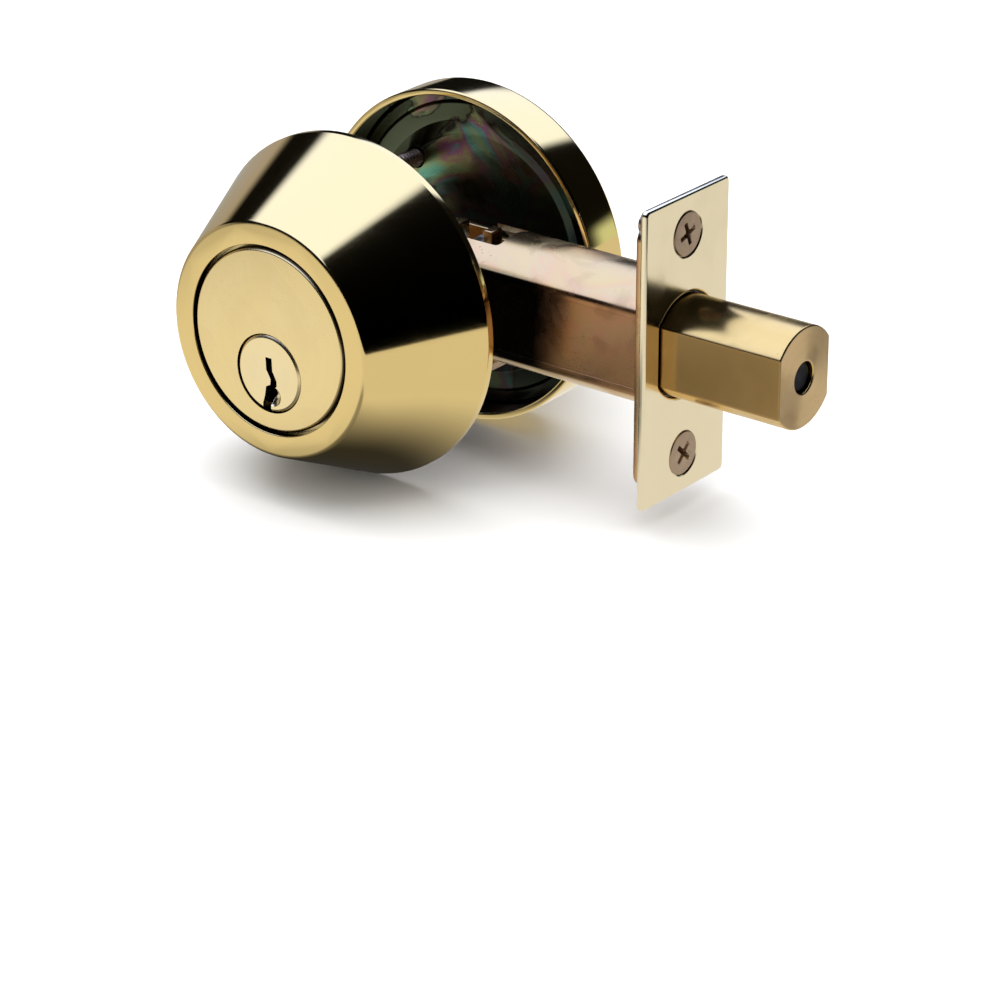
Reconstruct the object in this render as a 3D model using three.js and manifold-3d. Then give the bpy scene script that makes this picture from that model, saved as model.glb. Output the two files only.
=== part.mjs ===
// A single-cylinder deadbolt door lock, with its bolt thrown.
// Millimetres. +X is the way the bolt throws, -Y is the key side, +Y is the thumbturn side, +Z is up.
// The origin is where the axis of the door's cross bore meets the axis of its edge bore.

import * as THREE from "three";
import { mergeVertices } from "three/addons/utils/BufferGeometryUtils.js";
import Module from "manifold-3d";

const wasm = await Module();
wasm.setup();

// ---------------------------------------------------------------- driving sizes

// Where the lock sits in its door
const BACKSET = 60.3; // cross bore axis to the faceplate's outer face
const BOLT_THROW = 25.4;
const HUB_DROP = 6.35; // plug, tailpiece, hub and thumbturn share an axis this far below the bolt's
const KEY_SIDE_Y = -20.4; // the plane where the exterior housing seats
const ROOM_SIDE_Y = 9.9; // the plane where the interior rose seats

// Clearances
const SEAT_GAP = 0.3; // between two faces that rest on each other
const RUNNING_GAP = 0.1; // round a piece that turns in another
const SLIDING_GAP = 0.35; // round the bolt where it slides
const FIXED_GAP = 0.15; // round a piece that is held in another

// Exterior housing
const HOUSING_DEPTH = 24.1;
const HOUSING_FRONT_R = 22.3;
const HOUSING_REAR_R = 32.7;
const HOUSING_LIP = 1.6; // straight edge behind the cone
const HOUSING_WALL = 2;
const HOUSING_EDGE = 1; // rounding between the face and the cone
const FACE_WALL = 2.4;
const FACE_BORE_R = 18.05;
const RIM_WIDTH = 1.8; // flat ring that bears on the door

// Cylinder
const DISC_GAP = 0.45; // the groove round the cylinder's disc
const DISC_BEVEL = 0.5;
const DISC_SETBACK = 0.1;
const FLANGE_OVERLAP = 1.75;
const FLANGE_THICK = 2;
const PLUG_R = 6.35;
const PLUG_HEAD_R = 7.3;
const PLUG_HEAD_THICK = 1.5;
const PLUG_DISH = 0.35;
const SHELL_WALL = 2.15; // round the plug
const SHOULDER = 1.2; // the shell's body is this much larger in front of the backing plate
const SHELL_REACH = 0.9; // at least this far past the backing plate
const SHELL_END_WALL = 2.26; // behind the last pin chamber
const BIBLE_TOP = 13.6;
const KEYWAY_WIDTH = 1.7;
const KEYWAY_TOP = 2.7; // above the plug's axis

// Pin stacks
const PIN_COUNT = 5;
const PIN_PITCH = 3.81;
const FIRST_PIN = 5.6; // behind the plug's face
const PIN_R = 1.4;
const KEY_PIN_LENGTHS = [4.2, 5, 3.9, 4.7, 4.4];
const DRIVER_PIN_LENGTH = 4.2;
const SPRING_WIRE_R = 0.2;
const SPRING_TURNS = 4;
const COVER_THICK = 1;

// Plug cap and tailpiece
const CAP_WALL = 1.5;
const CAP_GRIP = 2.4; // length of plug inside the cap
const CAP_END = 0.9;
const LUG_LENGTH = 1.6;
const LUG_SPAN = 40; // degrees
const LUG_LEAD = 135; // degrees from the tailpiece's lug to the plug's, with both at rest
const DRIVER_THICK = 1.3;
const BLADE_WIDTH = 6;
const BLADE_THICK = 2;

// Backing plate, guard ring and posts
const PLATE_THICK = 1.4;
const PLATE_SETBACK = 0.4;
const GUARD_WALL = 1.6;
const POST_R = 3.4;
const POST_COLLAR_R = 4.6;
const POST_COLLAR_THICK = 1.2;
const POST_LENGTH = 19;
const POST_REACH = 9.4; // past the key-side seat
const SCREW_R = 1.85;
const SCREW_HEAD_R = 4.2;
const SCREW_HEAD_DEPTH = 2.1;
const SCREW_GRIP = 14; // length of screw inside the post

// Bolt, its tail and its roller
const BOLT_R = 9.55;
const BOLT_HALF_WIDTH = 7.75; // across the two flats
const BOLT_LENGTH = 39.7;
const BOLT_CHAMFER = 0.6;
const ROLLER_R = 2.8;
const ROLLER_LENGTH = 28.5;
const ROLLER_SETBACK = 0.8;
const TAIL_HALF_THICK = 1.6;
const TAIL_BAR_BOTTOM = 0.4;
const TAIL_BAR_TOP = 5;
const TONGUE_BOTTOM = -3;
const TONGUE_LENGTH = 6.4;
const FORK_TOP = 12.2;
const FORK_PRONG = 2.2;
const TAIL_PIN_R = 1.4;

// Hub and crank
const CRANK_PIN_R = 2;
const CRANK_SLOT_GAP = 0.75; // takes up the difference between the arm's arc and the bolt's straight travel
const CRANK_ARM_THICK = 1.8;
const CRANK_ARM_GAP = 0.4; // between the arms and the tail
const CRANK_ARM_HALF = 2.9;
const HUB_R = 5.2;
const HUB_JOURNAL_R = 4.1;

// Bolt case
const TUBE_WALL = 1;
const GUIDE_WALL = 1.5; // of the bushing between the bolt and its tube, above and below
const GUIDE_SIDE_WALL = 0.4; // of the same bushing beside the flats
const TUBE_REAR_X = 14;
const CASE_HALF_WIDTH = 6.1;
const CASE_PLATE_THICK = 1.2;
const CASE_REAR_X = -19.2;
const CASE_TOP = 9.7;
const CASE_BOTTOM = -11.1;
const CASE_NECK_HALF = 8.4; // the plates are lower where they enter the tube
const CASE_NECK_X = 13.6;
const CASE_FRONT_X = 20.2;
const RIVET_R = 1.5;
const RIVET_HEAD_R = 2.4;
const RIVET_HEAD_THICK = 0.8;
const COLLAR_GRIP = 1.6; // depth of the rivet in each cheek of the saddle
const SPRING_LEAF_THICK = 0.4;
const SPRING_LEAF_HALF = 3;
const GUIDE_LENGTH = 7;

// Faceplate and backplate
const FACEPLATE_WIDTH = 25.4;
const FACEPLATE_HEIGHT = 57.15;
const FACEPLATE_THICK = 1.4;
const FACEPLATE_CORNER = 1;
const FACEPLATE_EDGE = 0.35;
const BACKPLATE_WIDTH = 22.8;
const BACKPLATE_HEIGHT = 50;
const BACKPLATE_THICK = 1.4;
const BACKPLATE_CORNER = 3;
const PLATE_SCREW_SPACING = 42.2;
const PLATE_SCREW_R = 2;
const PLATE_SCREW_HEAD_R = 4.3;
const PLATE_SCREW_HEAD_DEPTH = 2.1;
const PLATE_SCREW_LENGTH = 9.5;

// Interior rose
const ROSE_R = 32.6;
const ROSE_WALL = 1.3;
const ROSE_BAND = 9.1; // depth of the straight side
const ROSE_EDGE = 2;
const ROSE_CROWN = 2.6; // rise from the band to the middle of the face
const ROSE_BOSS_R = 11;
const ROSE_BOSS_RISE = 1.2;
const ROSE_PLATE_DEPTH = 6.1; // from the door to the rose's plate
const ROSE_PLATE_THICK = 1.4;
const ROSE_PLATE_DISH = 1.2;
const ROSE_PLATE_FLAT_R = 22;
const ROSE_PLATE_RIM_R = 25;

// Thumbturn
const TURN_SHAFT_R = 5;
const TURN_COLLAR_R = 8.6;
const TURN_COLLAR_THICK = 2.2;
const TURN_HALF_SPAN = 17;
const TURN_NECK_HALF = 6.6;
const TURN_HEIGHT = 17;
const TURN_THICK = 7.4;
const TURN_ROUND = 1.4;
const BUSHING_WALL = 1.3;
const CLIP_THICK = 0.8;
const CLIP_R = 7.4;
const WASHER_THICK = 0.5;
const WASHER_R = 8.5;

// Facets round a full turn, by size of piece
const LARGE = 48;
const MEDIUM = 28;
const SMALL = 16;
const TINY = 10;
const SPRING_STEPS = 6;
const FILLET_STEPS = 2;
const ARC_STEPS = 8;
const WELD = 1e-4;

// ---------------------------------------------------------------- places worked out from the sizes

const FACE_Y = KEY_SIDE_Y - HOUSING_DEPTH;
const CONE_SLOPE = (HOUSING_REAR_R - HOUSING_FRONT_R) / (HOUSING_DEPTH - HOUSING_LIP);
const CONE_WALL = HOUSING_WALL * Math.hypot(1, CONE_SLOPE); // the wall, measured along the radius
const DISC_FRONT_Y = FACE_Y + DISC_SETBACK;
const DISC_R = FACE_BORE_R - DISC_GAP;
const FLANGE_R = FACE_BORE_R + FLANGE_OVERLAP;
const FLANGE_FRONT_Y = FACE_Y + FACE_WALL + SEAT_GAP;
const FLANGE_REAR_Y = FLANGE_FRONT_Y + FLANGE_THICK;
const TUBE_R = BOLT_R + RUNNING_GAP + GUIDE_WALL + FIXED_GAP + TUBE_WALL;
const TUBE_HALF_WIDTH = BOLT_HALF_WIDTH + RUNNING_GAP + GUIDE_SIDE_WALL + FIXED_GAP + TUBE_WALL;
const PLATE_REAR_Y = KEY_SIDE_Y - PLATE_SETBACK;
const PLATE_FRONT_Y = PLATE_REAR_Y - PLATE_THICK;
const POCKET_R = HOUSING_REAR_R - RIM_WIDTH;
const SHELL_SHOULDER_Y = PLATE_FRONT_Y - SEAT_GAP;
const PLUG_BORE_R = PLUG_R + RUNNING_GAP;
const BARREL_R = PLUG_BORE_R + SHELL_WALL;
const CHAMBER_R = PIN_R + RUNNING_GAP;
const LAST_CHAMBER_Y = FACE_Y + FIRST_PIN + (PIN_COUNT - 1) * PIN_PITCH + CHAMBER_R;
const SHELL_REAR_Y = Math.max(PLATE_REAR_Y + SHELL_REACH, LAST_CHAMBER_Y + SHELL_END_WALL);
const BIBLE_HALF = CHAMBER_R + SHELL_WALL;
const COVER_BOTTOM_Z = BIBLE_TOP + SHOULDER - COVER_THICK - RUNNING_GAP;
const COVER_HALF = CHAMBER_R + 0.8;
const COVER_REAR_Y = Math.max(SHELL_SHOULDER_Y - RUNNING_GAP, LAST_CHAMBER_Y + FIXED_GAP);
const PLUG_REAR_Y = SHELL_REAR_Y + SEAT_GAP + CAP_GRIP;
const DRIVER_FRONT_Y = PLUG_REAR_Y + SEAT_GAP + LUG_LENGTH;
const DRIVER_REAR_Y = DRIVER_FRONT_Y + DRIVER_THICK;
const CAP_END_Y = DRIVER_REAR_Y + SEAT_GAP;
const BLADE_HALF_DIAGONAL = Math.hypot(BLADE_WIDTH, BLADE_THICK) / 2;
const LUG_OUTER_R = PLUG_R - 1;
const LUG_INNER_R = BLADE_HALF_DIAGONAL;
const SHEAR_Z = PLUG_R - HUB_DROP; // top of the plug

const BOLT_FRONT_X = BACKSET + BOLT_THROW;
const BOLT_REAR_X = BOLT_FRONT_X - BOLT_LENGTH;
const ROLLER_FRONT_X = BOLT_FRONT_X - ROLLER_SETBACK;
const ROLLER_REAR_X = ROLLER_FRONT_X - ROLLER_LENGTH;
const TONGUE_REAR_X = BOLT_REAR_X + SEAT_GAP;
const TONGUE_FRONT_X = TONGUE_REAR_X + TONGUE_LENGTH;
const TAIL_PIN_X = (TONGUE_REAR_X + TONGUE_FRONT_X) / 2;
const TAIL_PIN_Z = (TONGUE_BOTTOM + TAIL_BAR_TOP) / 2;
const CRANK_PIN_X = BOLT_THROW / 2; // the arm swings a quarter turn, 45 degrees each side of upright
const CRANK_PIN_Z = BOLT_THROW / 2 - HUB_DROP;
const FORK_SLOT_HALF = CRANK_PIN_R + CRANK_SLOT_GAP;
const FORK_REAR_X = CRANK_PIN_X - FORK_SLOT_HALF - FORK_PRONG;
const FORK_FRONT_X = CRANK_PIN_X + FORK_SLOT_HALF + FORK_PRONG;
const FORK_BOTTOM = CRANK_PIN_Z - CRANK_PIN_R - 0.95;
const ARM_INNER_Y = TAIL_HALF_THICK + CRANK_ARM_GAP;
const ARM_OUTER_Y = ARM_INNER_Y + CRANK_ARM_THICK;
const CASE_INNER_Y = CASE_HALF_WIDTH - CASE_PLATE_THICK;

const FACEPLATE_REAR_X = BACKSET - FACEPLATE_THICK;
const BACKPLATE_FRONT_X = FACEPLATE_REAR_X - SEAT_GAP;
const BACKPLATE_REAR_X = BACKPLATE_FRONT_X - BACKPLATE_THICK;
const TUBE_FRONT_X = BACKPLATE_FRONT_X - RUNNING_GAP;
const TUBE_TOP_NOTCH_X = Math.max(FORK_FRONT_X + 2, CASE_FRONT_X + 1.3); // end of the slot that clears the fork
const TUBE_SIDE_NOTCH_X = CASE_FRONT_X + 0.8;

const ROSE_BAND_Y = ROOM_SIDE_Y + ROSE_BAND;
const ROSE_INNER_R = ROSE_R - ROSE_WALL;
const ROSE_FACE_Y = ROSE_BAND_Y + ROSE_EDGE;
const ROSE_CROWN_Y = ROSE_FACE_Y + ROSE_CROWN;
const ROSE_BOSS_Y = ROSE_CROWN_Y + ROSE_BOSS_RISE - 1.2;
const ROSE_PLATE_R = ROSE_INNER_R - SEAT_GAP;
const ROSE_PLATE_Y = ROOM_SIDE_Y + ROSE_PLATE_DEPTH;
const ROSE_PLATE_DISH_Y = ROSE_PLATE_Y + ROSE_PLATE_DISH;
const TURN_COLLAR_Y = ROSE_BOSS_Y + SEAT_GAP;
const TURN_PADDLE_Y = TURN_COLLAR_Y + TURN_COLLAR_THICK;
const WASHER_Y = ROSE_PLATE_DISH_Y - SEAT_GAP - WASHER_THICK;
const CLIP_Y = WASHER_Y - SEAT_GAP - CLIP_THICK;
const TURN_SHAFT_Y = CLIP_Y - 1.2;
const TURN_SLOT_END_Y = TURN_COLLAR_Y - 1.5;
const BLADE_END_Y = TURN_SLOT_END_Y - 0.5;
const SCREW_HEAD_Y = ROSE_CROWN_Y - 0.6;
const POST_END_Y = KEY_SIDE_Y + POST_REACH;
const SCREW_TIP_Y = POST_END_Y - SCREW_GRIP;
const POST_FRONT_Y = POST_END_Y - POST_LENGTH;

function coneInnerR(y) {
  return HOUSING_FRONT_R - CONE_WALL + CONE_SLOPE * (y - FACE_Y);
}

// The through screws pass just above and just below the bolt's tube, as far out as the guard ring allows
const SCREW_Z = TUBE_R + SLIDING_GAP + SCREW_R;
const SCREW_CIRCLE_R = coneInnerR(POST_FRONT_Y) - GUARD_WALL - 2 * SEAT_GAP - POST_R;
const SCREW_X = Math.sqrt(SCREW_CIRCLE_R ** 2 - SCREW_Z ** 2);

const HUB_AXIS = [0, -HUB_DROP];
const SCREW_AXES = [[-SCREW_X, SCREW_Z], [SCREW_X, -SCREW_Z]];
const RIVET_AXES = [
  [CASE_REAR_X + 3.7, -HUB_DROP - 1.2],
  [TUBE_REAR_X - RIVET_HEAD_R - SEAT_GAP, -HUB_DROP - 2],
];
const COLLAR_RIVET_AXIS = [CASE_FRONT_X - 2.3, -HUB_DROP + 0.7];

// ---------------------------------------------------------------- solids

// A closed mesh as a solid that can be joined and cut.
function solidOf(geometry) {
  const bare = geometry.index ? geometry.toNonIndexed() : geometry.clone();
  bare.deleteAttribute("normal");
  bare.deleteAttribute("uv");
  const merged = mergeVertices(bare, WELD);
  const corners = merged.index.array;
  const triVerts = [];
  for (let i = 0; i < corners.length; i += 3) {
    const [a, b, c] = [corners[i], corners[i + 1], corners[i + 2]];
    if (a !== b && b !== c && c !== a) triVerts.push(a, b, c);
  }
  return new wasm.Manifold(
    new wasm.Mesh({
      numProp: 3,
      vertProperties: merged.attributes.position.array,
      triVerts: new Uint32Array(triVerts),
    }),
  );
}

// A solid as a flat-shaded geometry.
function geometryOf(solid) {
  const mesh = solid.getMesh();
  const geometry = new THREE.BufferGeometry();
  geometry.setAttribute("position", new THREE.BufferAttribute(mesh.vertProperties, 3));
  geometry.setIndex(new THREE.BufferAttribute(mesh.triVerts, 1));
  const flat = geometry.toNonIndexed();
  flat.computeVertexNormals();
  return flat;
}

function joined(...solids) {
  return solids.reduce((whole, piece) => whole.add(piece));
}

function cut(solid, ...cutters) {
  return cutters.reduce((left, cutter) => left.subtract(cutter), solid);
}

// Rounds each corner [a, b, radius] of a closed outline that gives a radius.
function filleted(corners) {
  return corners.flatMap(([a, b, radius = 0], i) => {
    if (!radius) return [[a, b]];
    const corner = new THREE.Vector2(a, b);
    const before = new THREE.Vector2(...corners.at(i - 1).slice(0, 2)).sub(corner).normalize();
    const after = new THREE.Vector2(...corners[(i + 1) % corners.length].slice(0, 2)).sub(corner).normalize();
    const half = Math.acos(THREE.MathUtils.clamp(before.dot(after), -1, 1)) / 2;
    const reach = radius / Math.tan(half);
    const centre = before.clone().add(after).normalize().multiplyScalar(radius / Math.sin(half)).add(corner);
    const start = before.clone().multiplyScalar(reach).add(corner).sub(centre);
    const end = after.clone().multiplyScalar(reach).add(corner).sub(centre);
    const sweep = Math.atan2(start.cross(end), start.dot(end));
    return Array.from({ length: FILLET_STEPS + 1 }, (_, step) => {
      const spoke = start.clone().rotateAround(new THREE.Vector2(), (sweep * step) / FILLET_STEPS);
      return spoke.add(centre).toArray();
    });
  });
}

// Turns a closed outline of [radius, y] points round the line that runs along Y through (x, z).
function turnedY(outline, facets, [x, z] = [0, 0]) {
  const points = outline.map(([radius, y]) => new THREE.Vector2(radius, y));
  if (THREE.ShapeUtils.area(points) < 0) points.reverse();
  points.push(points[0].clone());
  return solidOf(new THREE.LatheGeometry(points, facets).translate(x, 0, z));
}

// Turns a closed outline of [radius, x] points round the X axis, or a line beside it at height z.
function turnedX(outline, facets, z = 0) {
  const points = outline.map(([radius, x]) => new THREE.Vector2(radius, x));
  if (THREE.ShapeUtils.area(points) < 0) points.reverse();
  points.push(points[0].clone());
  return solidOf(new THREE.LatheGeometry(points, facets).rotateZ(-Math.PI / 2).translate(0, 0, z));
}

function rodY(radius, y0, y1, facets, axis = [0, 0]) {
  return turnedY([[0, y0], [radius, y0], [radius, y1], [0, y1]], facets, axis);
}

function rodX(radius, x0, x1, facets, z = 0) {
  return turnedX([[0, x0], [radius, x0], [radius, x1], [0, x1]], facets, z);
}

function rodZ(radius, z0, z1, facets, [x, y]) {
  const rod = new THREE.CylinderGeometry(radius, radius, z1 - z0, facets);
  return solidOf(rod.rotateX(Math.PI / 2).translate(x, y, (z0 + z1) / 2));
}

function ringY(inner, outer, y0, y1, facets, axis = [0, 0]) {
  return turnedY([[inner, y0], [outer, y0], [outer, y1], [inner, y1]], facets, axis);
}

function block([x0, x1], [y0, y1], [z0, z1]) {
  const box = new THREE.BoxGeometry(x1 - x0, y1 - y0, z1 - z0);
  return solidOf(box.translate((x0 + x1) / 2, (y0 + y1) / 2, (z0 + z1) / 2));
}

function shapeOf(points) {
  return new THREE.Shape(points.map(([a, b]) => new THREE.Vector2(a, b)));
}

// A shape drawn in (x, z), as a slab from y0 to y1.
function slabY(shape, y0, y1) {
  const slab = new THREE.ExtrudeGeometry(shape, { depth: y1 - y0, bevelEnabled: false, curveSegments: ARC_STEPS });
  const facing = new THREE.Matrix4().makeBasis(
    new THREE.Vector3(1, 0, 0),
    new THREE.Vector3(0, 0, 1),
    new THREE.Vector3(0, -1, 0),
  );
  return solidOf(slab.applyMatrix4(facing).translate(0, y1, 0));
}

// A shape drawn in (y, z), as a slab from x0 to x1, with its edges bevelled where bevel is given.
function slabX(shape, x0, x1, bevel = 0) {
  const slab = new THREE.ExtrudeGeometry(shape, {
    depth: x1 - x0 - 2 * bevel,
    bevelEnabled: bevel > 0,
    bevelThickness: bevel,
    bevelSize: bevel,
    bevelOffset: -bevel,
    bevelSegments: 1,
    curveSegments: ARC_STEPS,
  });
  const facing = new THREE.Matrix4().makeBasis(
    new THREE.Vector3(0, 1, 0),
    new THREE.Vector3(0, 0, 1),
    new THREE.Vector3(1, 0, 0),
  );
  return solidOf(slab.applyMatrix4(facing).translate(x0 + bevel, 0, 0));
}

// A circle with two upright flats, the section of the bolt and of its tube.
function flattedCircle(radius, halfWidth) {
  const corner = Math.acos(halfWidth / radius);
  const shape = new THREE.Shape();
  shape.absarc(0, 0, radius, corner, Math.PI - corner, false);
  shape.absarc(0, 0, radius, Math.PI + corner, -corner, false);
  shape.closePath();
  return shape;
}

function roundedRectangle(halfWidth, halfHeight, corner) {
  const shape = new THREE.Shape();
  const [y, z] = [halfWidth - corner, halfHeight - corner];
  shape.absarc(y, z, corner, 0, Math.PI / 2, false);
  shape.absarc(-y, z, corner, Math.PI / 2, Math.PI, false);
  shape.absarc(-y, -z, corner, Math.PI, 1.5 * Math.PI, false);
  shape.absarc(y, -z, corner, 1.5 * Math.PI, 2 * Math.PI, false);
  shape.closePath();
  return shape;
}

// A piece of a ring round the hub's axis, drawn in (x, z). Its middle is turned from +Z towards +X.
function sector(inner, outer, middle, span) {
  const from = THREE.MathUtils.degToRad(90 - middle - span / 2);
  const to = THREE.MathUtils.degToRad(90 - middle + span / 2);
  const shape = new THREE.Shape();
  shape.absarc(0, -HUB_DROP, outer, from, to, false);
  shape.absarc(0, -HUB_DROP, inner, to, from, true);
  shape.closePath();
  return shape;
}

// The slot that a tailpiece blade fits, through y0 to y1.
function bladeSlot(y0, y1) {
  const [halfWidth, halfThick] = [BLADE_WIDTH / 2 + FIXED_GAP, BLADE_THICK / 2 + FIXED_GAP];
  return block([-halfWidth, halfWidth], [y0, y1], [-HUB_DROP - halfThick, -HUB_DROP + halfThick]);
}

// A cross recess for a driver, in a screw head that faces +X or +Y.
function crossRecess(alongX, face, depth, [a, b]) {
  const [long, short] = [2.3, 0.55];
  const span = [face - depth, face + 1];
  const arms = [[long, short], [short, long]].map(([halfA, halfB]) =>
    alongX
      ? block(span, [a - halfA, a + halfA], [b - halfB, b + halfB])
      : block([a - halfA, a + halfA], span, [b - halfB, b + halfB]),
  );
  return joined(...arms);
}

// ---------------------------------------------------------------- exterior side

function exteriorHousing() {
  const pocketY = PLATE_FRONT_Y - RUNNING_GAP;
  const outline = filleted([
    [FACE_BORE_R, FACE_Y],
    [HOUSING_FRONT_R, FACE_Y, HOUSING_EDGE],
    [HOUSING_REAR_R, KEY_SIDE_Y - HOUSING_LIP],
    [HOUSING_REAR_R, KEY_SIDE_Y],
    [POCKET_R, KEY_SIDE_Y],
    [POCKET_R, pocketY],
    [Math.min(coneInnerR(pocketY), POCKET_R - 0.4), pocketY],
    [coneInnerR(FACE_Y + FACE_WALL), FACE_Y + FACE_WALL],
    [FACE_BORE_R, FACE_Y + FACE_WALL],
  ]);
  return turnedY(outline, LARGE);
}

// The shell's body seen along Y: a round barrel over the plug, with the bible above it.
function shellBody(y0, y1, grow) {
  const bible = block([-BIBLE_HALF - grow, BIBLE_HALF + grow], [y0, y1], [-HUB_DROP, BIBLE_TOP + grow]);
  return joined(rodY(BARREL_R + grow, y0, y1, MEDIUM, HUB_AXIS), bible);
}

function pinY(index) {
  return FACE_Y + FIRST_PIN + index * PIN_PITCH;
}

const PIN_ROWS = Array.from({ length: PIN_COUNT }, (_, index) => pinY(index));

function cylinderShell() {
  const disc = turnedY(
    [
      [0, DISC_FRONT_Y],
      [DISC_R - DISC_BEVEL, DISC_FRONT_Y],
      [DISC_R, DISC_FRONT_Y + DISC_BEVEL],
      [DISC_R, FLANGE_FRONT_Y],
      [FLANGE_R, FLANGE_FRONT_Y],
      [FLANGE_R, FLANGE_REAR_Y],
      [0, FLANGE_REAR_Y],
    ],
    LARGE,
  );
  const body = joined(
    shellBody(FLANGE_REAR_Y - 1, SHELL_SHOULDER_Y, SHOULDER),
    shellBody(SHELL_SHOULDER_Y - 1, SHELL_REAR_Y, 0),
  );
  const headBore = rodY(PLUG_HEAD_R + RUNNING_GAP, FACE_Y - 1, FACE_Y + PLUG_HEAD_THICK + RUNNING_GAP, MEDIUM, HUB_AXIS);
  const plugBore = rodY(PLUG_BORE_R, FACE_Y - 1, SHELL_REAR_Y + 1, MEDIUM, HUB_AXIS);
  const chambers = PIN_ROWS.map((y) => rodZ(CHAMBER_R, -HUB_DROP + 1, BIBLE_TOP + SHOULDER + 1, TINY, [0, y]));
  const coverGroove = block(
    [-COVER_HALF - RUNNING_GAP, COVER_HALF + RUNNING_GAP],
    [FLANGE_REAR_Y, COVER_REAR_Y + 1],
    [COVER_BOTTOM_Z - RUNNING_GAP, BIBLE_TOP + SHOULDER + 1],
  );
  return cut(joined(disc, body), headBore, plugBore, ...chambers, coverGroove);
}

// The keyway's outline in (x, z) about the plug's axis: a slot whose middle steps from side to side.
function keywayShape() {
  const middles = [
    [-0.2, KEYWAY_TOP],
    [-0.2, 0.5],
    [0.9, -0.7],
    [0.9, -1.7],
    [-0.6, -3],
    [-0.6, -4.3],
    [0.1, -5.2],
    [0.1, -PLUG_HEAD_R - 1],
  ];
  const right = middles.map(([x, z]) => [x + KEYWAY_WIDTH / 2, z - HUB_DROP]);
  const left = middles.map(([x, z]) => [x - KEYWAY_WIDTH / 2, z - HUB_DROP]).reverse();
  return shapeOf([...right, ...left]);
}

function cylinderPlug() {
  const barrel = turnedY(
    [
      [0, FACE_Y + PLUG_DISH],
      [PLUG_HEAD_R - 0.7, FACE_Y],
      [PLUG_HEAD_R, FACE_Y + 0.4],
      [PLUG_HEAD_R, FACE_Y + PLUG_HEAD_THICK],
      [PLUG_R, FACE_Y + PLUG_HEAD_THICK],
      [PLUG_R, PLUG_REAR_Y],
      [0, PLUG_REAR_Y],
    ],
    MEDIUM,
    HUB_AXIS,
  );
  const lug = slabY(sector(LUG_INNER_R, LUG_OUTER_R, LUG_LEAD, LUG_SPAN), PLUG_REAR_Y - 1, PLUG_REAR_Y + LUG_LENGTH);
  const keyway = slabY(keywayShape(), FACE_Y - 1, SHELL_REAR_Y - 1);
  const scoop = turnedY([[0, FACE_Y - 1], [2.7, FACE_Y - 1], [0, FACE_Y + 1.9]], SMALL, [0.2, -HUB_DROP - 4.4]);
  const chamberBottom = SHEAR_Z - 2 * SEAT_GAP - Math.max(...KEY_PIN_LENGTHS);
  const chambers = PIN_ROWS.map((y) => rodZ(CHAMBER_R, chamberBottom, SHEAR_Z + 1, TINY, [0, y]));
  return cut(joined(barrel, lug), keyway, scoop, ...chambers);
}

function plugCap() {
  const inner = PLUG_R + RUNNING_GAP;
  const outer = inner + CAP_WALL;
  const capFront = SHELL_REAR_Y + SEAT_GAP;
  return turnedY(
    [
      [inner, capFront],
      [outer, capFront],
      [outer, CAP_END_Y + CAP_END],
      [BLADE_HALF_DIAGONAL + 0.6, CAP_END_Y + CAP_END],
      [BLADE_HALF_DIAGONAL + 0.6, CAP_END_Y],
      [inner, CAP_END_Y],
    ],
    MEDIUM,
    HUB_AXIS,
  );
}

// Pins stand on Z. Both sorts have tapered ends where they meet.
function pin(bottom, top, y) {
  const taper = 0.35;
  const outline = [
    [0, bottom],
    [PIN_R - taper, bottom],
    [PIN_R, bottom + taper],
    [PIN_R, top - taper],
    [PIN_R - taper, top],
    [0, top],
  ].map(([radius, z]) => new THREE.Vector2(radius, z));
  outline.push(outline[0].clone());
  return solidOf(new THREE.LatheGeometry(outline, TINY).rotateX(Math.PI / 2).translate(0, y, 0));
}

function keyPin(index) {
  const top = SHEAR_Z - SEAT_GAP;
  return pin(top - KEY_PIN_LENGTHS[index], top, pinY(index));
}

function driverBottomZ() {
  return SHEAR_Z + RUNNING_GAP + SEAT_GAP;
}

function driverPin(index) {
  return pin(driverBottomZ(), driverBottomZ() + DRIVER_PIN_LENGTH, pinY(index));
}

// A coil spring between a driver pin and the chamber cover.
function pinSpring(index) {
  const coilR = PIN_R - SPRING_WIRE_R;
  const bottom = driverBottomZ() + DRIVER_PIN_LENGTH + SPRING_WIRE_R + RUNNING_GAP;
  const top = COVER_BOTTOM_Z - SPRING_WIRE_R - RUNNING_GAP;
  const steps = SPRING_TURNS * SPRING_STEPS;
  const route = Array.from({ length: steps + 1 }, (_, step) => {
    const turn = (2 * Math.PI * step) / SPRING_STEPS;
    const height = bottom + ((top - bottom) * step) / steps;
    return new THREE.Vector3(coilR * Math.cos(turn), pinY(index) + coilR * Math.sin(turn), height);
  });
  const wire = new THREE.Shape().absarc(0, 0, SPRING_WIRE_R, 0, 2 * Math.PI, false);
  const extrudePath = new THREE.CatmullRomCurve3(route);
  return solidOf(new THREE.ExtrudeGeometry(wire, { steps, extrudePath, curveSegments: 2 }));
}

function pinChamberCover() {
  return block(
    [-COVER_HALF, COVER_HALF],
    [FLANGE_REAR_Y + RUNNING_GAP, COVER_REAR_Y],
    [COVER_BOTTOM_Z, COVER_BOTTOM_Z + COVER_THICK],
  );
}

function steelGuardRing() {
  const [front, rear] = [FLANGE_REAR_Y + SEAT_GAP, PLATE_FRONT_Y - SEAT_GAP - POST_COLLAR_THICK - SEAT_GAP];
  const frontR = coneInnerR(front) - SEAT_GAP;
  const rearR = coneInnerR(rear) - SEAT_GAP;
  return turnedY([[frontR - GUARD_WALL, front], [frontR, front], [rearR, rear], [rearR - GUARD_WALL, rear]], LARGE);
}

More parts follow.
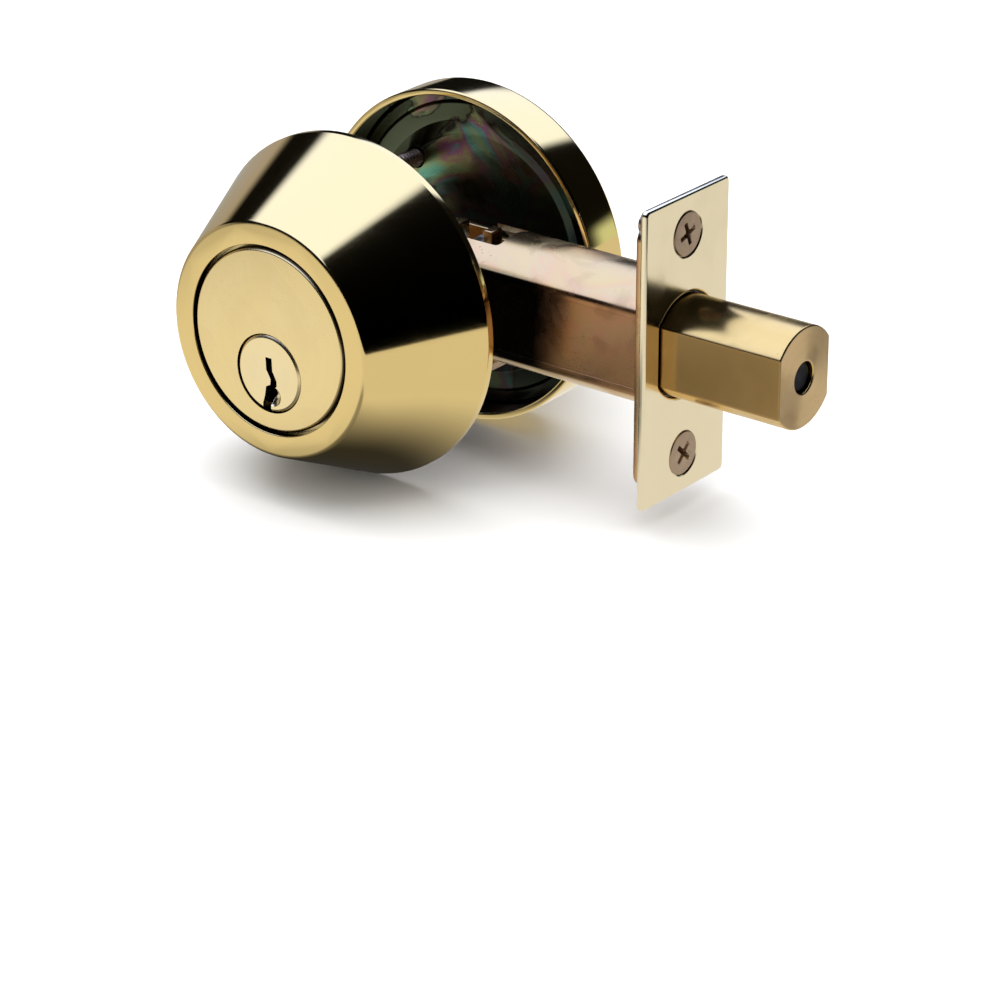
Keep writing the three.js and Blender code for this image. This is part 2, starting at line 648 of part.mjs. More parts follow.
function backingPlate() {
  const disc = rodY(POCKET_R - SEAT_GAP, PLATE_FRONT_Y, PLATE_REAR_Y, LARGE);
  const holes = SCREW_AXES.map((axis) => rodY(POST_R + FIXED_GAP, PLATE_FRONT_Y - 1, PLATE_REAR_Y + 1, SMALL, axis));
  const coverNotch = block(
    [-COVER_HALF - FIXED_GAP, COVER_HALF + FIXED_GAP],
    [PLATE_FRONT_Y - 1, COVER_REAR_Y + FIXED_GAP],
    [0, COVER_BOTTOM_Z + COVER_THICK + FIXED_GAP],
  );
  return cut(disc, shellBody(PLATE_FRONT_Y - 1, PLATE_REAR_Y + 1, FIXED_GAP), coverNotch, ...holes);
}

function mountingPost(axis) {
  const collarRear = PLATE_FRONT_Y - SEAT_GAP;
  const collarFront = collarRear - POST_COLLAR_THICK;
  const bore = rodY(SCREW_R + FIXED_GAP, SCREW_TIP_Y - 1.5, POST_END_Y + 1, SMALL, axis);
  const post = turnedY(
    [
      [0, POST_FRONT_Y],
      [POST_R, POST_FRONT_Y],
      [POST_R, collarFront],
      [POST_COLLAR_R, collarFront],
      [POST_COLLAR_R, collarRear],
      [POST_R, collarRear],
      [POST_R, POST_END_Y],
      [0, POST_END_Y],
    ],
    SMALL,
    axis,
  );
  return cut(post, bore);
}

// ---------------------------------------------------------------- turning pieces

function tailpiece() {
  const driver = rodY(LUG_OUTER_R, DRIVER_FRONT_Y, DRIVER_REAR_Y, MEDIUM, HUB_AXIS);
  const lug = slabY(sector(LUG_INNER_R, LUG_OUTER_R, 0, LUG_SPAN), DRIVER_FRONT_Y - LUG_LENGTH, DRIVER_REAR_Y);
  const [halfWidth, halfThick] = [BLADE_WIDTH / 2, BLADE_THICK / 2];
  const blade = block(
    [-halfWidth, halfWidth],
    [DRIVER_FRONT_Y, BLADE_END_Y],
    [-HUB_DROP - halfThick, -HUB_DROP + halfThick],
  );
  return joined(driver, lug, blade);
}

function hubCrank() {
  const boss = turnedY(
    [
      [0, -CASE_HALF_WIDTH],
      [HUB_JOURNAL_R, -CASE_HALF_WIDTH],
      [HUB_JOURNAL_R, -CASE_INNER_Y + SEAT_GAP],
      [HUB_R, -CASE_INNER_Y + SEAT_GAP],
      [HUB_R, CASE_INNER_Y - SEAT_GAP],
      [HUB_JOURNAL_R, CASE_INNER_Y - SEAT_GAP],
      [HUB_JOURNAL_R, CASE_HALF_WIDTH],
      [0, CASE_HALF_WIDTH],
    ],
    MEDIUM,
    HUB_AXIS,
  );
  const arm = new THREE.Shape();
  arm.absarc(0, -HUB_DROP, HUB_R - 0.8, 0.75 * Math.PI, 1.75 * Math.PI, false);
  arm.absarc(CRANK_PIN_X, CRANK_PIN_Z, CRANK_ARM_HALF, -0.25 * Math.PI, 0.75 * Math.PI, false);
  arm.closePath();
  const arms = [slabY(arm, ARM_INNER_Y, ARM_OUTER_Y), slabY(arm, -ARM_OUTER_Y, -ARM_INNER_Y)];
  const crankPin = rodY(CRANK_PIN_R, -ARM_OUTER_Y, ARM_OUTER_Y, SMALL, [CRANK_PIN_X, CRANK_PIN_Z]);
  return cut(joined(boss, ...arms, crankPin), bladeSlot(-CASE_HALF_WIDTH - 1, CASE_HALF_WIDTH + 1));
}

function thumbturn() {
  const shaft = turnedY(
    filleted([
      [0, TURN_SHAFT_Y],
      [TURN_SHAFT_R, TURN_SHAFT_Y],
      [TURN_SHAFT_R, CLIP_Y - RUNNING_GAP],
      [TURN_SHAFT_R - 0.8, CLIP_Y - RUNNING_GAP],
      [TURN_SHAFT_R - 0.8, CLIP_Y + CLIP_THICK + RUNNING_GAP],
      [TURN_SHAFT_R, CLIP_Y + CLIP_THICK + RUNNING_GAP],
      [TURN_SHAFT_R, TURN_COLLAR_Y],
      [TURN_COLLAR_R, TURN_COLLAR_Y],
      [TURN_COLLAR_R, TURN_PADDLE_Y + 0.4, 1],
      [0, TURN_PADDLE_Y + 0.4],
    ]),
    MEDIUM,
    HUB_AXIS,
  );
  const top = TURN_PADDLE_Y + TURN_HEIGHT;
  const outline = shapeOf(
    filleted([
      [-TURN_NECK_HALF, TURN_PADDLE_Y - 1],
      [TURN_NECK_HALF, TURN_PADDLE_Y - 1],
      [TURN_NECK_HALF, TURN_PADDLE_Y + 2, 3],
      [TURN_HALF_SPAN, TURN_PADDLE_Y + 8, 4],
      [TURN_HALF_SPAN - 1.5, top, 4],
      [-TURN_HALF_SPAN + 1.5, top, 4],
      [-TURN_HALF_SPAN, TURN_PADDLE_Y + 8, 4],
      [-TURN_NECK_HALF, TURN_PADDLE_Y + 2, 3],
    ]),
  );
  const paddle = new THREE.ExtrudeGeometry(outline, {
    depth: TURN_THICK - 2 * TURN_ROUND,
    bevelThickness: TURN_ROUND,
    bevelSize: TURN_ROUND,
    bevelOffset: -TURN_ROUND,
    bevelSegments: 2,
  });
  paddle.translate(0, 0, -HUB_DROP - TURN_THICK / 2 + TURN_ROUND);
  return cut(joined(shaft, solidOf(paddle)), bladeSlot(TURN_SHAFT_Y - 1, TURN_SLOT_END_Y));
}

// An open retaining ring round the thumbturn's shaft.
function thumbturnClip() {
  const ring = ringY(TURN_SHAFT_R - 0.8 + RUNNING_GAP, CLIP_R, CLIP_Y, CLIP_Y + CLIP_THICK, MEDIUM, HUB_AXIS);
  const mouth = block([-2.2, 2.2], [CLIP_Y - 1, CLIP_Y + CLIP_THICK + 1], [-HUB_DROP - CLIP_R - 1, -HUB_DROP]);
  return cut(ring, mouth);
}

// ---------------------------------------------------------------- bolt

function bolt() {
  const section = flattedCircle(BOLT_R, BOLT_HALF_WIDTH);
  const bar = slabX(section, BOLT_REAR_X, BOLT_FRONT_X, BOLT_CHAMFER);
  const rollerBore = rodX(ROLLER_R + FIXED_GAP, ROLLER_REAR_X - SEAT_GAP, BOLT_FRONT_X + 1, SMALL);
  const slotHalf = TAIL_HALF_THICK + FIXED_GAP;
  const slot = block(
    [BOLT_REAR_X - 1, TONGUE_FRONT_X + SEAT_GAP],
    [-slotHalf, slotHalf],
    [TONGUE_BOTTOM - SEAT_GAP, TAIL_BAR_TOP + SEAT_GAP],
  );
  const pinHole = rodY(TAIL_PIN_R + FIXED_GAP, -BOLT_R, BOLT_R, TINY, [TAIL_PIN_X, TAIL_PIN_Z]);
  return cut(bar, rollerBore, slot, pinHole);
}

function boltRoller() {
  return turnedX(
    [
      [0, ROLLER_REAR_X],
      [ROLLER_R, ROLLER_REAR_X],
      [ROLLER_R, ROLLER_FRONT_X - 0.5],
      [ROLLER_R - 0.5, ROLLER_FRONT_X],
      [0, ROLLER_FRONT_X],
    ],
    SMALL,
  );
}

// The flat link behind the bolt, with an upright fork that the crank pin works in.
function boltTail() {
  const outline = shapeOf([
    [FORK_REAR_X, TAIL_BAR_BOTTOM],
    [FORK_REAR_X, FORK_TOP],
    [FORK_REAR_X + FORK_PRONG, FORK_TOP],
    [FORK_REAR_X + FORK_PRONG, FORK_BOTTOM],
    [FORK_FRONT_X - FORK_PRONG, FORK_BOTTOM],
    [FORK_FRONT_X - FORK_PRONG, FORK_TOP],
    [FORK_FRONT_X, FORK_TOP],
    [FORK_FRONT_X, TAIL_BAR_TOP],
    [TONGUE_FRONT_X, TAIL_BAR_TOP],
    [TONGUE_FRONT_X, TONGUE_BOTTOM],
    [TONGUE_REAR_X - 3, TONGUE_BOTTOM],
    [TONGUE_REAR_X - 6, TAIL_BAR_BOTTOM],
  ]);
  const link = slabY(outline, -TAIL_HALF_THICK, TAIL_HALF_THICK);
  return cut(link, rodY(TAIL_PIN_R + FIXED_GAP, -BOLT_R, BOLT_R, TINY, [TAIL_PIN_X, TAIL_PIN_Z]));
}

function tailPin() {
  const half = BOLT_HALF_WIDTH - 0.5;
  return rodY(TAIL_PIN_R, -half, half, TINY, [TAIL_PIN_X, TAIL_PIN_Z]);
}

// ---------------------------------------------------------------- bolt case

function boltTube() {
  const outer = slabX(flattedCircle(TUBE_R, TUBE_HALF_WIDTH), TUBE_REAR_X, TUBE_FRONT_X);
  const hollow = slabX(flattedCircle(TUBE_R - TUBE_WALL, TUBE_HALF_WIDTH - TUBE_WALL), TUBE_REAR_X - 1, TUBE_FRONT_X + 1);
  const topNotch = block([TUBE_REAR_X - 1, TUBE_TOP_NOTCH_X], [-4.8, 4.8], [0, TUBE_R + 1]);
  const sideNotches = block([TUBE_REAR_X - 1, TUBE_SIDE_NOTCH_X], [-TUBE_R, TUBE_R], [-5.6, 5.6]);
  return cut(outer, hollow, topNotch, sideNotches);
}

function boltGuide() {
  const rear = TUBE_FRONT_X - GUIDE_LENGTH;
  const outer = flattedCircle(TUBE_R - TUBE_WALL - FIXED_GAP, TUBE_HALF_WIDTH - TUBE_WALL - FIXED_GAP);
  const inner = flattedCircle(BOLT_R + RUNNING_GAP, BOLT_HALF_WIDTH + RUNNING_GAP);
  return cut(slabX(outer, rear, TUBE_FRONT_X), slabX(inner, rear - 1, TUBE_FRONT_X + 1));
}

// A saddle inside the tube's end that carries the case plates.
function tubeCollar() {
  const outer = flattedCircle(TUBE_R - TUBE_WALL - FIXED_GAP, TUBE_HALF_WIDTH - TUBE_WALL - FIXED_GAP);
  const window = CASE_HALF_WIDTH + SEAT_GAP;
  const saddle = cut(
    slabX(outer, TUBE_REAR_X + 1.8, CASE_FRONT_X),
    block([TUBE_REAR_X, CASE_FRONT_X + 1], [-window, window], [-CASE_NECK_HALF - SEAT_GAP, TUBE_R]),
  );
  return cut(saddle, rodY(RIVET_R + FIXED_GAP, -TUBE_R, TUBE_R, TINY, COLLAR_RIVET_AXIS));
}

function casePlate(y0) {
  const outline = shapeOf(
    filleted([
      [CASE_REAR_X, CASE_BOTTOM, 5],
      [CASE_NECK_X, CASE_BOTTOM, 2],
      [CASE_NECK_X, -CASE_NECK_HALF],
      [CASE_FRONT_X, -CASE_NECK_HALF],
      [CASE_FRONT_X, CASE_NECK_HALF],
      [CASE_NECK_X, CASE_NECK_HALF],
      [CASE_NECK_X, CASE_TOP, 0.8],
      [CASE_REAR_X, CASE_TOP, 3],
    ]),
  );
  const through = [y0 - 1, y0 + CASE_PLATE_THICK + 1];
  const holes = [...RIVET_AXES, COLLAR_RIVET_AXIS].map((axis) => rodY(RIVET_R + RUNNING_GAP, ...through, TINY, axis));
  const hubHole = rodY(HUB_JOURNAL_R + RUNNING_GAP, ...through, MEDIUM, HUB_AXIS);
  return cut(slabY(outline, y0, y0 + CASE_PLATE_THICK), hubHole, ...holes);
}

function caseRivet(axis) {
  const inner = CASE_HALF_WIDTH + RUNNING_GAP;
  const outer = inner + RIVET_HEAD_THICK;
  return turnedY(
    [
      [0, -outer],
      [RIVET_HEAD_R - 0.5, -outer],
      [RIVET_HEAD_R, -inner],
      [RIVET_R, -inner],
      [RIVET_R, inner],
      [RIVET_HEAD_R, inner],
      [RIVET_HEAD_R - 0.5, outer],
      [0, outer],
    ],
    TINY,
    axis,
  );
}

function collarRivet() {
  const half = CASE_HALF_WIDTH + COLLAR_GRIP;
  return rodY(RIVET_R, -half, half, TINY, COLLAR_RIVET_AXIS);
}

// A bent leaf that passes under the hub, hooked on the two case rivets.
function detentSpring() {
  const [[rearX, rearZ], [frontX, frontZ]] = RIVET_AXES;
  const seat = RIVET_R + RUNNING_GAP;
  const under = -HUB_DROP - HUB_R - RUNNING_GAP;
  const top = [
    [rearX - 0.6, rearZ - seat],
    [rearX + 3, rearZ - seat],
    [-3, under],
    [3, under],
    [frontX - 3, frontZ - seat],
    [frontX + 0.6, frontZ - seat],
  ];
  const bottom = top.map(([x, z]) => [x, z - SPRING_LEAF_THICK]).reverse();
  return slabY(shapeOf([...top, ...bottom]), -SPRING_LEAF_HALF, SPRING_LEAF_HALF);
}

// ---------------------------------------------------------------- edge plates

const PLATE_SCREW_HEIGHTS = [PLATE_SCREW_SPACING / 2, -PLATE_SCREW_SPACING / 2];

function countersunk(grow, z, tip) {
  const neckX = BACKSET - PLATE_SCREW_HEAD_DEPTH;
  return turnedX(
    [
      [0, tip],
      [PLATE_SCREW_R + grow, tip],
      [PLATE_SCREW_R + grow, neckX],
      [PLATE_SCREW_HEAD_R + grow, BACKSET],
      ...(grow ? [[PLATE_SCREW_HEAD_R + grow, BACKSET + 1], [0, BACKSET + 1]] : [[0, BACKSET]]),
    ],
    SMALL,
    z,
  );
}

function faceplate() {
  const blank = slabX(
    roundedRectangle(FACEPLATE_WIDTH / 2, FACEPLATE_HEIGHT / 2, FACEPLATE_CORNER),
    FACEPLATE_REAR_X,
    BACKSET,
    FACEPLATE_EDGE,
  );
  const boltHole = slabX(
    flattedCircle(BOLT_R + SLIDING_GAP, BOLT_HALF_WIDTH + SLIDING_GAP),
    FACEPLATE_REAR_X - 1,
    BACKSET + 1,
  );
  const screwHoles = PLATE_SCREW_HEIGHTS.map((z) => countersunk(FIXED_GAP, z, FACEPLATE_REAR_X - 1));
  return cut(blank, boltHole, ...screwHoles);
}

function backplate() {
  const blank = slabX(
    roundedRectangle(BACKPLATE_WIDTH / 2, BACKPLATE_HEIGHT / 2, BACKPLATE_CORNER),
    BACKPLATE_REAR_X,
    BACKPLATE_FRONT_X,
  );
  const tubeHole = slabX(
    flattedCircle(TUBE_R + FIXED_GAP, TUBE_HALF_WIDTH + FIXED_GAP),
    BACKPLATE_REAR_X - 1,
    BACKPLATE_FRONT_X + 1,
  );
  const screwHoles = PLATE_SCREW_HEIGHTS.map((z) =>
    rodX(PLATE_SCREW_R + 0.6, BACKPLATE_REAR_X - 1, BACKPLATE_FRONT_X + 1, SMALL, z),
  );
  return cut(blank, tubeHole, ...screwHoles);
}

function faceplateScrew(z) {
  return cut(countersunk(0, z, BACKSET - PLATE_SCREW_LENGTH), crossRecess(true, BACKSET, 1.3, [0, z]));
}

// ---------------------------------------------------------------- interior side

function throughScrewSolid(grow, axis, tip) {
  const neckY = SCREW_HEAD_Y - SCREW_HEAD_DEPTH;
  return turnedY(
    [
      [0, tip],
      [SCREW_R + grow, tip],
      [SCREW_R + grow, neckY],
      [SCREW_HEAD_R + grow, SCREW_HEAD_Y],
      ...(grow ? [[SCREW_HEAD_R + grow, SCREW_HEAD_Y + 3], [0, SCREW_HEAD_Y + 3]] : [[0, SCREW_HEAD_Y]]),
    ],
    SMALL,
    axis,
  );
}

function mountingScrew(axis) {
  return cut(throughScrewSolid(0, axis, SCREW_TIP_Y), crossRecess(false, SCREW_HEAD_Y, 1.3, axis));
}

function interiorRose() {
  const shell = turnedY(
    filleted([
      [0, ROSE_CROWN_Y],
      [ROSE_BOSS_R + 2, ROSE_CROWN_Y, 4],
      [ROSE_R - ROSE_EDGE, ROSE_FACE_Y, 3],
      [ROSE_R, ROSE_BAND_Y, 1],
      [ROSE_R, ROOM_SIDE_Y],
      [ROSE_INNER_R, ROOM_SIDE_Y],
      [ROSE_INNER_R, ROSE_BAND_Y - ROSE_WALL / 2],
      [ROSE_R - ROSE_EDGE - ROSE_WALL, ROSE_FACE_Y - ROSE_WALL],
      [ROSE_BOSS_R + 2, ROSE_CROWN_Y - ROSE_WALL],
      [0, ROSE_CROWN_Y - ROSE_WALL],
    ]),
    LARGE,
  );
  const boss = turnedY(
    [
      [0, ROSE_CROWN_Y - ROSE_WALL / 2],
      [ROSE_BOSS_R, ROSE_CROWN_Y - ROSE_WALL / 2],
      [ROSE_BOSS_R - 1.2, ROSE_CROWN_Y + ROSE_BOSS_RISE],
      [0, ROSE_CROWN_Y + ROSE_BOSS_RISE],
    ],
    MEDIUM,
    HUB_AXIS,
  );
  const recess = rodY(TURN_COLLAR_R + 0.5, ROSE_BOSS_Y, ROSE_CROWN_Y + 4, MEDIUM, HUB_AXIS);
  const shaftHole = rodY(TURN_SHAFT_R + BUSHING_WALL + RUNNING_GAP + FIXED_GAP, ROSE_PLATE_Y, ROSE_CROWN_Y + 4, MEDIUM, HUB_AXIS);
  const screwHoles = SCREW_AXES.map((axis) => throughScrewSolid(FIXED_GAP, axis, ROSE_PLATE_Y));
  return cut(joined(shell, boss), recess, shaftHole, ...screwHoles);
}

function roseMountingPlate() {
  const dish = turnedY(
    [
      [0, ROSE_PLATE_DISH_Y],
      [ROSE_PLATE_FLAT_R, ROSE_PLATE_DISH_Y],
      [ROSE_PLATE_RIM_R, ROSE_PLATE_Y],
      [ROSE_PLATE_R, ROSE_PLATE_Y],
      [ROSE_PLATE_R, ROSE_PLATE_Y + ROSE_PLATE_THICK],
      [ROSE_PLATE_RIM_R, ROSE_PLATE_Y + ROSE_PLATE_THICK],
      [ROSE_PLATE_FLAT_R, ROSE_PLATE_DISH_Y + ROSE_PLATE_THICK],
      [0, ROSE_PLATE_DISH_Y + ROSE_PLATE_THICK],
    ],
    LARGE,
  );
  const through = [ROSE_PLATE_Y - 1, ROSE_PLATE_DISH_Y + ROSE_PLATE_THICK + 1];
  const shaftHole = rodY(TURN_SHAFT_R + RUNNING_GAP, ...through, MEDIUM, HUB_AXIS);
  const screwHoles = SCREW_AXES.map((axis) => rodY(SCREW_R + SEAT_GAP, ...through, SMALL, axis));
  return cut(dish, shaftHole, ...screwHoles);
}

function thumbturnBushing() {
  const inner = TURN_SHAFT_R + RUNNING_GAP;
  return ringY(inner, inner + BUSHING_WALL, ROSE_CROWN_Y - ROSE_WALL - 1, ROSE_BOSS_Y - RUNNING_GAP, MEDIUM, HUB_AXIS);
}

function waveWasher() {
  return ringY(TURN_SHAFT_R + SEAT_GAP, WASHER_R, WASHER_Y, WASHER_Y + WASHER_THICK, MEDIUM, HUB_AXIS);
}

// ---------------------------------------------------------------- materials and assembly

function metal(color, roughness) {
  return new THREE.MeshStandardMaterial({ color, roughness, metalness: 1 });
}

const polishedBrass = metal(0xe8c37a, 0.12);
const satinBrass = metal(0xd9b066, 0.35);
const plugBrass = metal(0xe2bf7c, 0.25);
const boltBrass = metal(0xc49a55, 0.3);
const yellowZinc = metal(0xc2a98c, 0.4);
const darkZinc = metal(0x3c4438, 0.45);
const castZinc = metal(0x9a9a98, 0.55);
const steel = metal(0xb9b9bb, 0.35);
const hardenedSteel = metal(0x4a4a4e, 0.4);
const bronzeScrew = metal(0x8d7250, 0.4);
const nylon = new THREE.MeshStandardMaterial({ color: 0xe6e2d8, roughness: 0.6 });

const root = new THREE.Group();
root.name = "deadbolt";

function add(name, solid, material) {
  const mesh = new THREE.Mesh(geometryOf(solid), material);
  mesh.name = name;
  root.add(mesh);
}

add("exterior_housing", exteriorHousing(), polishedBrass);
add("cylinder_shell", cylinderShell(), satinBrass);
add("cylinder_plug", cylinderPlug(), plugBrass);
add("plug_cap", plugCap(), boltBrass);
for (let index = 0; index < PIN_COUNT; index++) {
  add(`key_pin_${index + 1}`, keyPin(index), boltBrass);
  add(`driver_pin_${index + 1}`, driverPin(index), boltBrass);
  add(`pin_spring_${index + 1}`, pinSpring(index), steel);
}
add("pin_chamber_cover", pinChamberCover(), boltBrass);
add("steel_guard_ring", steelGuardRing(), hardenedSteel);
add("backing_plate", backingPlate(), steel);
SCREW_AXES.forEach((axis, index) => {
  add(`mounting_post_${index + 1}`, mountingPost(axis), steel);
  add(`mounting_screw_${index + 1}`, mountingScrew(axis), bronzeScrew);
});

add("tailpiece", tailpiece(), steel);
add("hub_crank", hubCrank(), castZinc);

add("bolt", bolt(), boltBrass);
add("bolt_roller", boltRoller(), hardenedSteel);
add("bolt_tail", boltTail(), yellowZinc);
add("tail_pin", tailPin(), steel);

add("bolt_tube", boltTube(), yellowZinc);
add("bolt_guide", boltGuide(), nylon);
add("tube_collar", tubeCollar(), castZinc);
add("case_plate_exterior", casePlate(-CASE_HALF_WIDTH), yellowZinc);
add("case_plate_interior", casePlate(CASE_INNER_Y), yellowZinc);
RIVET_AXES.forEach((axis, index) => add(`case_rivet_${index + 1}`, caseRivet(axis), steel));
add("collar_rivet", collarRivet(), steel);
add("detent_spring", detentSpring(), steel);

add("faceplate", faceplate(), polishedBrass);
add("backplate", backplate(), yellowZinc);
PLATE_SCREW_HEIGHTS.forEach((z, index) => add(`faceplate_screw_${index + 1}`, faceplateScrew(z), bronzeScrew));

add("interior_rose", interiorRose(), polishedBrass);
add("rose_mounting_plate", roseMountingPlate(), darkZinc);
add("thumbturn", thumbturn(), polishedBrass);
add("thumbturn_clip", thumbturnClip(), steel);
add("wave_washer", waveWasher(), steel);
add("thumbturn_bushing", thumbturnBushing(), nylon);

export default root;
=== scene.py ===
"""A brass deadbolt with its bolt thrown, on a pale floor. Metres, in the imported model's frame.

+X is the way the bolt throws, -Y is the key side, +Y is the thumbturn side, +Z is up.
"""
import math

import bmesh
import bpy
from mathutils import Matrix, Vector


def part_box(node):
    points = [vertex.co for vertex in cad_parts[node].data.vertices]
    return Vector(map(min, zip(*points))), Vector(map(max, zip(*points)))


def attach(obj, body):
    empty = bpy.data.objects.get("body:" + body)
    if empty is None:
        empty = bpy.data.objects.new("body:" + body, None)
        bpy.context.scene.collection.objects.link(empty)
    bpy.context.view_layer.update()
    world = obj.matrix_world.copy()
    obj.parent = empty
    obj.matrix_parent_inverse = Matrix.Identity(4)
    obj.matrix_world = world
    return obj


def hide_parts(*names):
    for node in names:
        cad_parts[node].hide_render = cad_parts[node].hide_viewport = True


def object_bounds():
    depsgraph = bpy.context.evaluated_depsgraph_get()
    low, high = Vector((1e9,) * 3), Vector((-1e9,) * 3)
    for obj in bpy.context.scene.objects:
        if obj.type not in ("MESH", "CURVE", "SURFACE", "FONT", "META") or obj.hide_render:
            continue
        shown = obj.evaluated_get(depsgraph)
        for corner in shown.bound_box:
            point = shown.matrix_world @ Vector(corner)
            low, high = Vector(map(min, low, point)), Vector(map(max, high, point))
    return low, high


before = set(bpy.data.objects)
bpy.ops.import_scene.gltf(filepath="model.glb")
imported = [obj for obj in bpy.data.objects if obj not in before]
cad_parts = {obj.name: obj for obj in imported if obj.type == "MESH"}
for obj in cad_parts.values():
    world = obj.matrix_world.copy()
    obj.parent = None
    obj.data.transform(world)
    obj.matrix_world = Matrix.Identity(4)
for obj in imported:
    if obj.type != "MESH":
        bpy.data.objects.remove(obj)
cad_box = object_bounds()

mm = 0.001
LARGE, MEDIUM = 192, 112  # sides of a turned piece
CORNER_STEPS = 5
SHARP_ANGLE = math.radians(32)
FLAT_ANGLE = math.radians(9)  # where a large flat meets its rounded edge
FLAT_RATIO = 40  # how many times larger than its neighbour a face counts as a large flat
SAME_PLANE = math.radians(0.2)
HAIR = 0.02 * mm
THROUGH = 3 * mm  # how far a cutter reaches past the piece that it cuts


# ---------------------------------------------------------------- places, from the frame

def low(node):
    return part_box(node)[0]


def high(node):
    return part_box(node)[1]


def centre_of(node):
    """Where a line along Y through the middle of a node crosses the plane of x and z."""
    return (low(node).x + high(node).x) / 2, (low(node).z + high(node).z) / 2


HUB_Z = centre_of("thumbturn")[1]  # the axis of the plug, hub and thumbturn
HUB = (0, HUB_Z)
FACE_Y = low("exterior_housing").y
KEY_SIDE_Y = high("exterior_housing").y
HOUSING_R = high("exterior_housing").x
ROOM_SIDE_Y = low("interior_rose").y
ROSE_R = high("interior_rose").x
BOLT_FRONT_X = high("bolt").x
BOLT_REAR_X = low("bolt").x
BOLT_R = high("bolt").z
BOLT_HALF = high("bolt").y
TUBE_R = high("bolt_tube").z
TUBE_HALF = high("bolt_tube").y
PLATE_X = high("faceplate").x
SCREWS = [centre_of(node) for node in ("mounting_screw_1", "mounting_screw_2")]
PLATE_SCREWS = [(0, centre_of(node)[1]) for node in ("faceplate_screw_1", "faceplate_screw_2")]


# ---------------------------------------------------------------- mesh work

def circle(radius, sides=MEDIUM, centre=(0, 0)):
    turn = [2 * math.pi * step / sides for step in range(sides)]
    return [(centre[0] + radius * math.cos(a), centre[1] + radius * math.sin(a)) for a in turn]


def flatted(radius, half_width, softness=80, sides=256):
    """A circle with two upright flats, whose corners are eased more as softness falls."""
    points = []
    for step in range(sides):
        a = 2 * math.pi * step / sides
        side = (abs(math.cos(a)) * radius / half_width) ** softness
        r = radius * (1 + side) ** (-1 / softness)
        points.append((r * math.cos(a), r * math.sin(a)))
    return points


def eased(corners, steps=CORNER_STEPS):
    """Rounds each corner (a, b, radius) of a closed outline that gives a radius."""
    points = []
    for i, corner in enumerate(corners):
        here = Vector(corner[:2])
        radius = corner[2] if len(corner) > 2 else 0
        if not radius:
            points.append(tuple(here))
            continue
        before = (Vector(corners[i - 1][:2]) - here).normalized()
        after = (Vector(corners[(i + 1) % len(corners)][:2]) - here).normalized()
        half = before.angle(after) / 2
        reach = radius / math.tan(half)
        centre = here + (before + after).normalized() * radius / math.sin(half)
        start, end = here + before * reach - centre, here + after * reach - centre
        sweep = start.angle_signed(end)
        for step in range(steps + 1):
            spoke = start.copy()
            spoke.rotate(Matrix.Rotation(-sweep * step / steps, 2))
            points.append(tuple(centre + spoke))
    return points


def rounded_rectangle(half_a, half_b, radius):
    corners = [(-half_a, -half_b), (half_a, -half_b), (half_a, half_b), (-half_a, half_b)]
    return eased([(*corner, radius) for corner in corners], 8)


def new_piece(name, mesh):
    piece = bpy.data.objects.new(name, mesh)
    bpy.context.scene.collection.objects.link(piece)
    return piece


def piece_from(name, bm, weld=1e-7):
    bmesh.ops.remove_doubles(bm, verts=bm.verts, dist=weld)
    bmesh.ops.recalc_face_normals(bm, faces=bm.faces)
    mesh = bpy.data.meshes.new(name)
    bm.to_mesh(mesh)
    bm.free()
    return new_piece(name, mesh)


def turned(name, outline, axis="Y", centre=(0, 0), sides=MEDIUM):
    """Turns a closed outline of (radius, height) points round a line along X or Y through centre."""
    bm = bmesh.new()
    rings = []
    for step in range(sides):
        a = 2 * math.pi * step / sides
        c, s = math.cos(a), math.sin(a)
        ring = []
        for radius, height in outline:
            p, q = centre[0] + radius * c, centre[1] + radius * s
            ring.append(bm.verts.new((p, height, q) if axis == "Y" else (height, p, q)))
        rings.append(ring)
    count = len(outline)
    for step in range(sides):
        here, there = rings[step], rings[(step + 1) % sides]
        for i in range(count):
            j = (i + 1) % count
            if outline[i][0] < 1e-9 and outline[j][0] < 1e-9:
                continue
            bm.faces.new((here[i], there[i], there[j], here[j]))
    return piece_from(name, bm)


def rod(name, radius, span, axis="Y", centre=(0, 0), sides=MEDIUM, edge=0):
    """A round bar between two heights, whose rims are eased by edge."""
    near, far = span
    corners = [(0, near), (radius, near, edge), (radius, far, edge), (0, far)]
    outline = eased(corners) if edge else [corner[:2] for corner in corners]
    return turned(name, outline, axis, centre, sides)


FACING = {
    "X": Matrix(((0, 0, 1, 0), (1, 0, 0, 0), (0, 1, 0, 0), (0, 0, 0, 1))),
    "Y": Matrix(((1, 0, 0, 0), (0, 0, -1, 0), (0, 1, 0, 0), (0, 0, 0, 1))),
}


def settled(piece):
    """The piece with its modifiers made part of its mesh."""
    mesh = bpy.data.meshes.new_from_object(piece.evaluated_get(bpy.context.evaluated_depsgraph_get()))
    piece.modifiers.clear()
    piece.data = mesh
    return piece


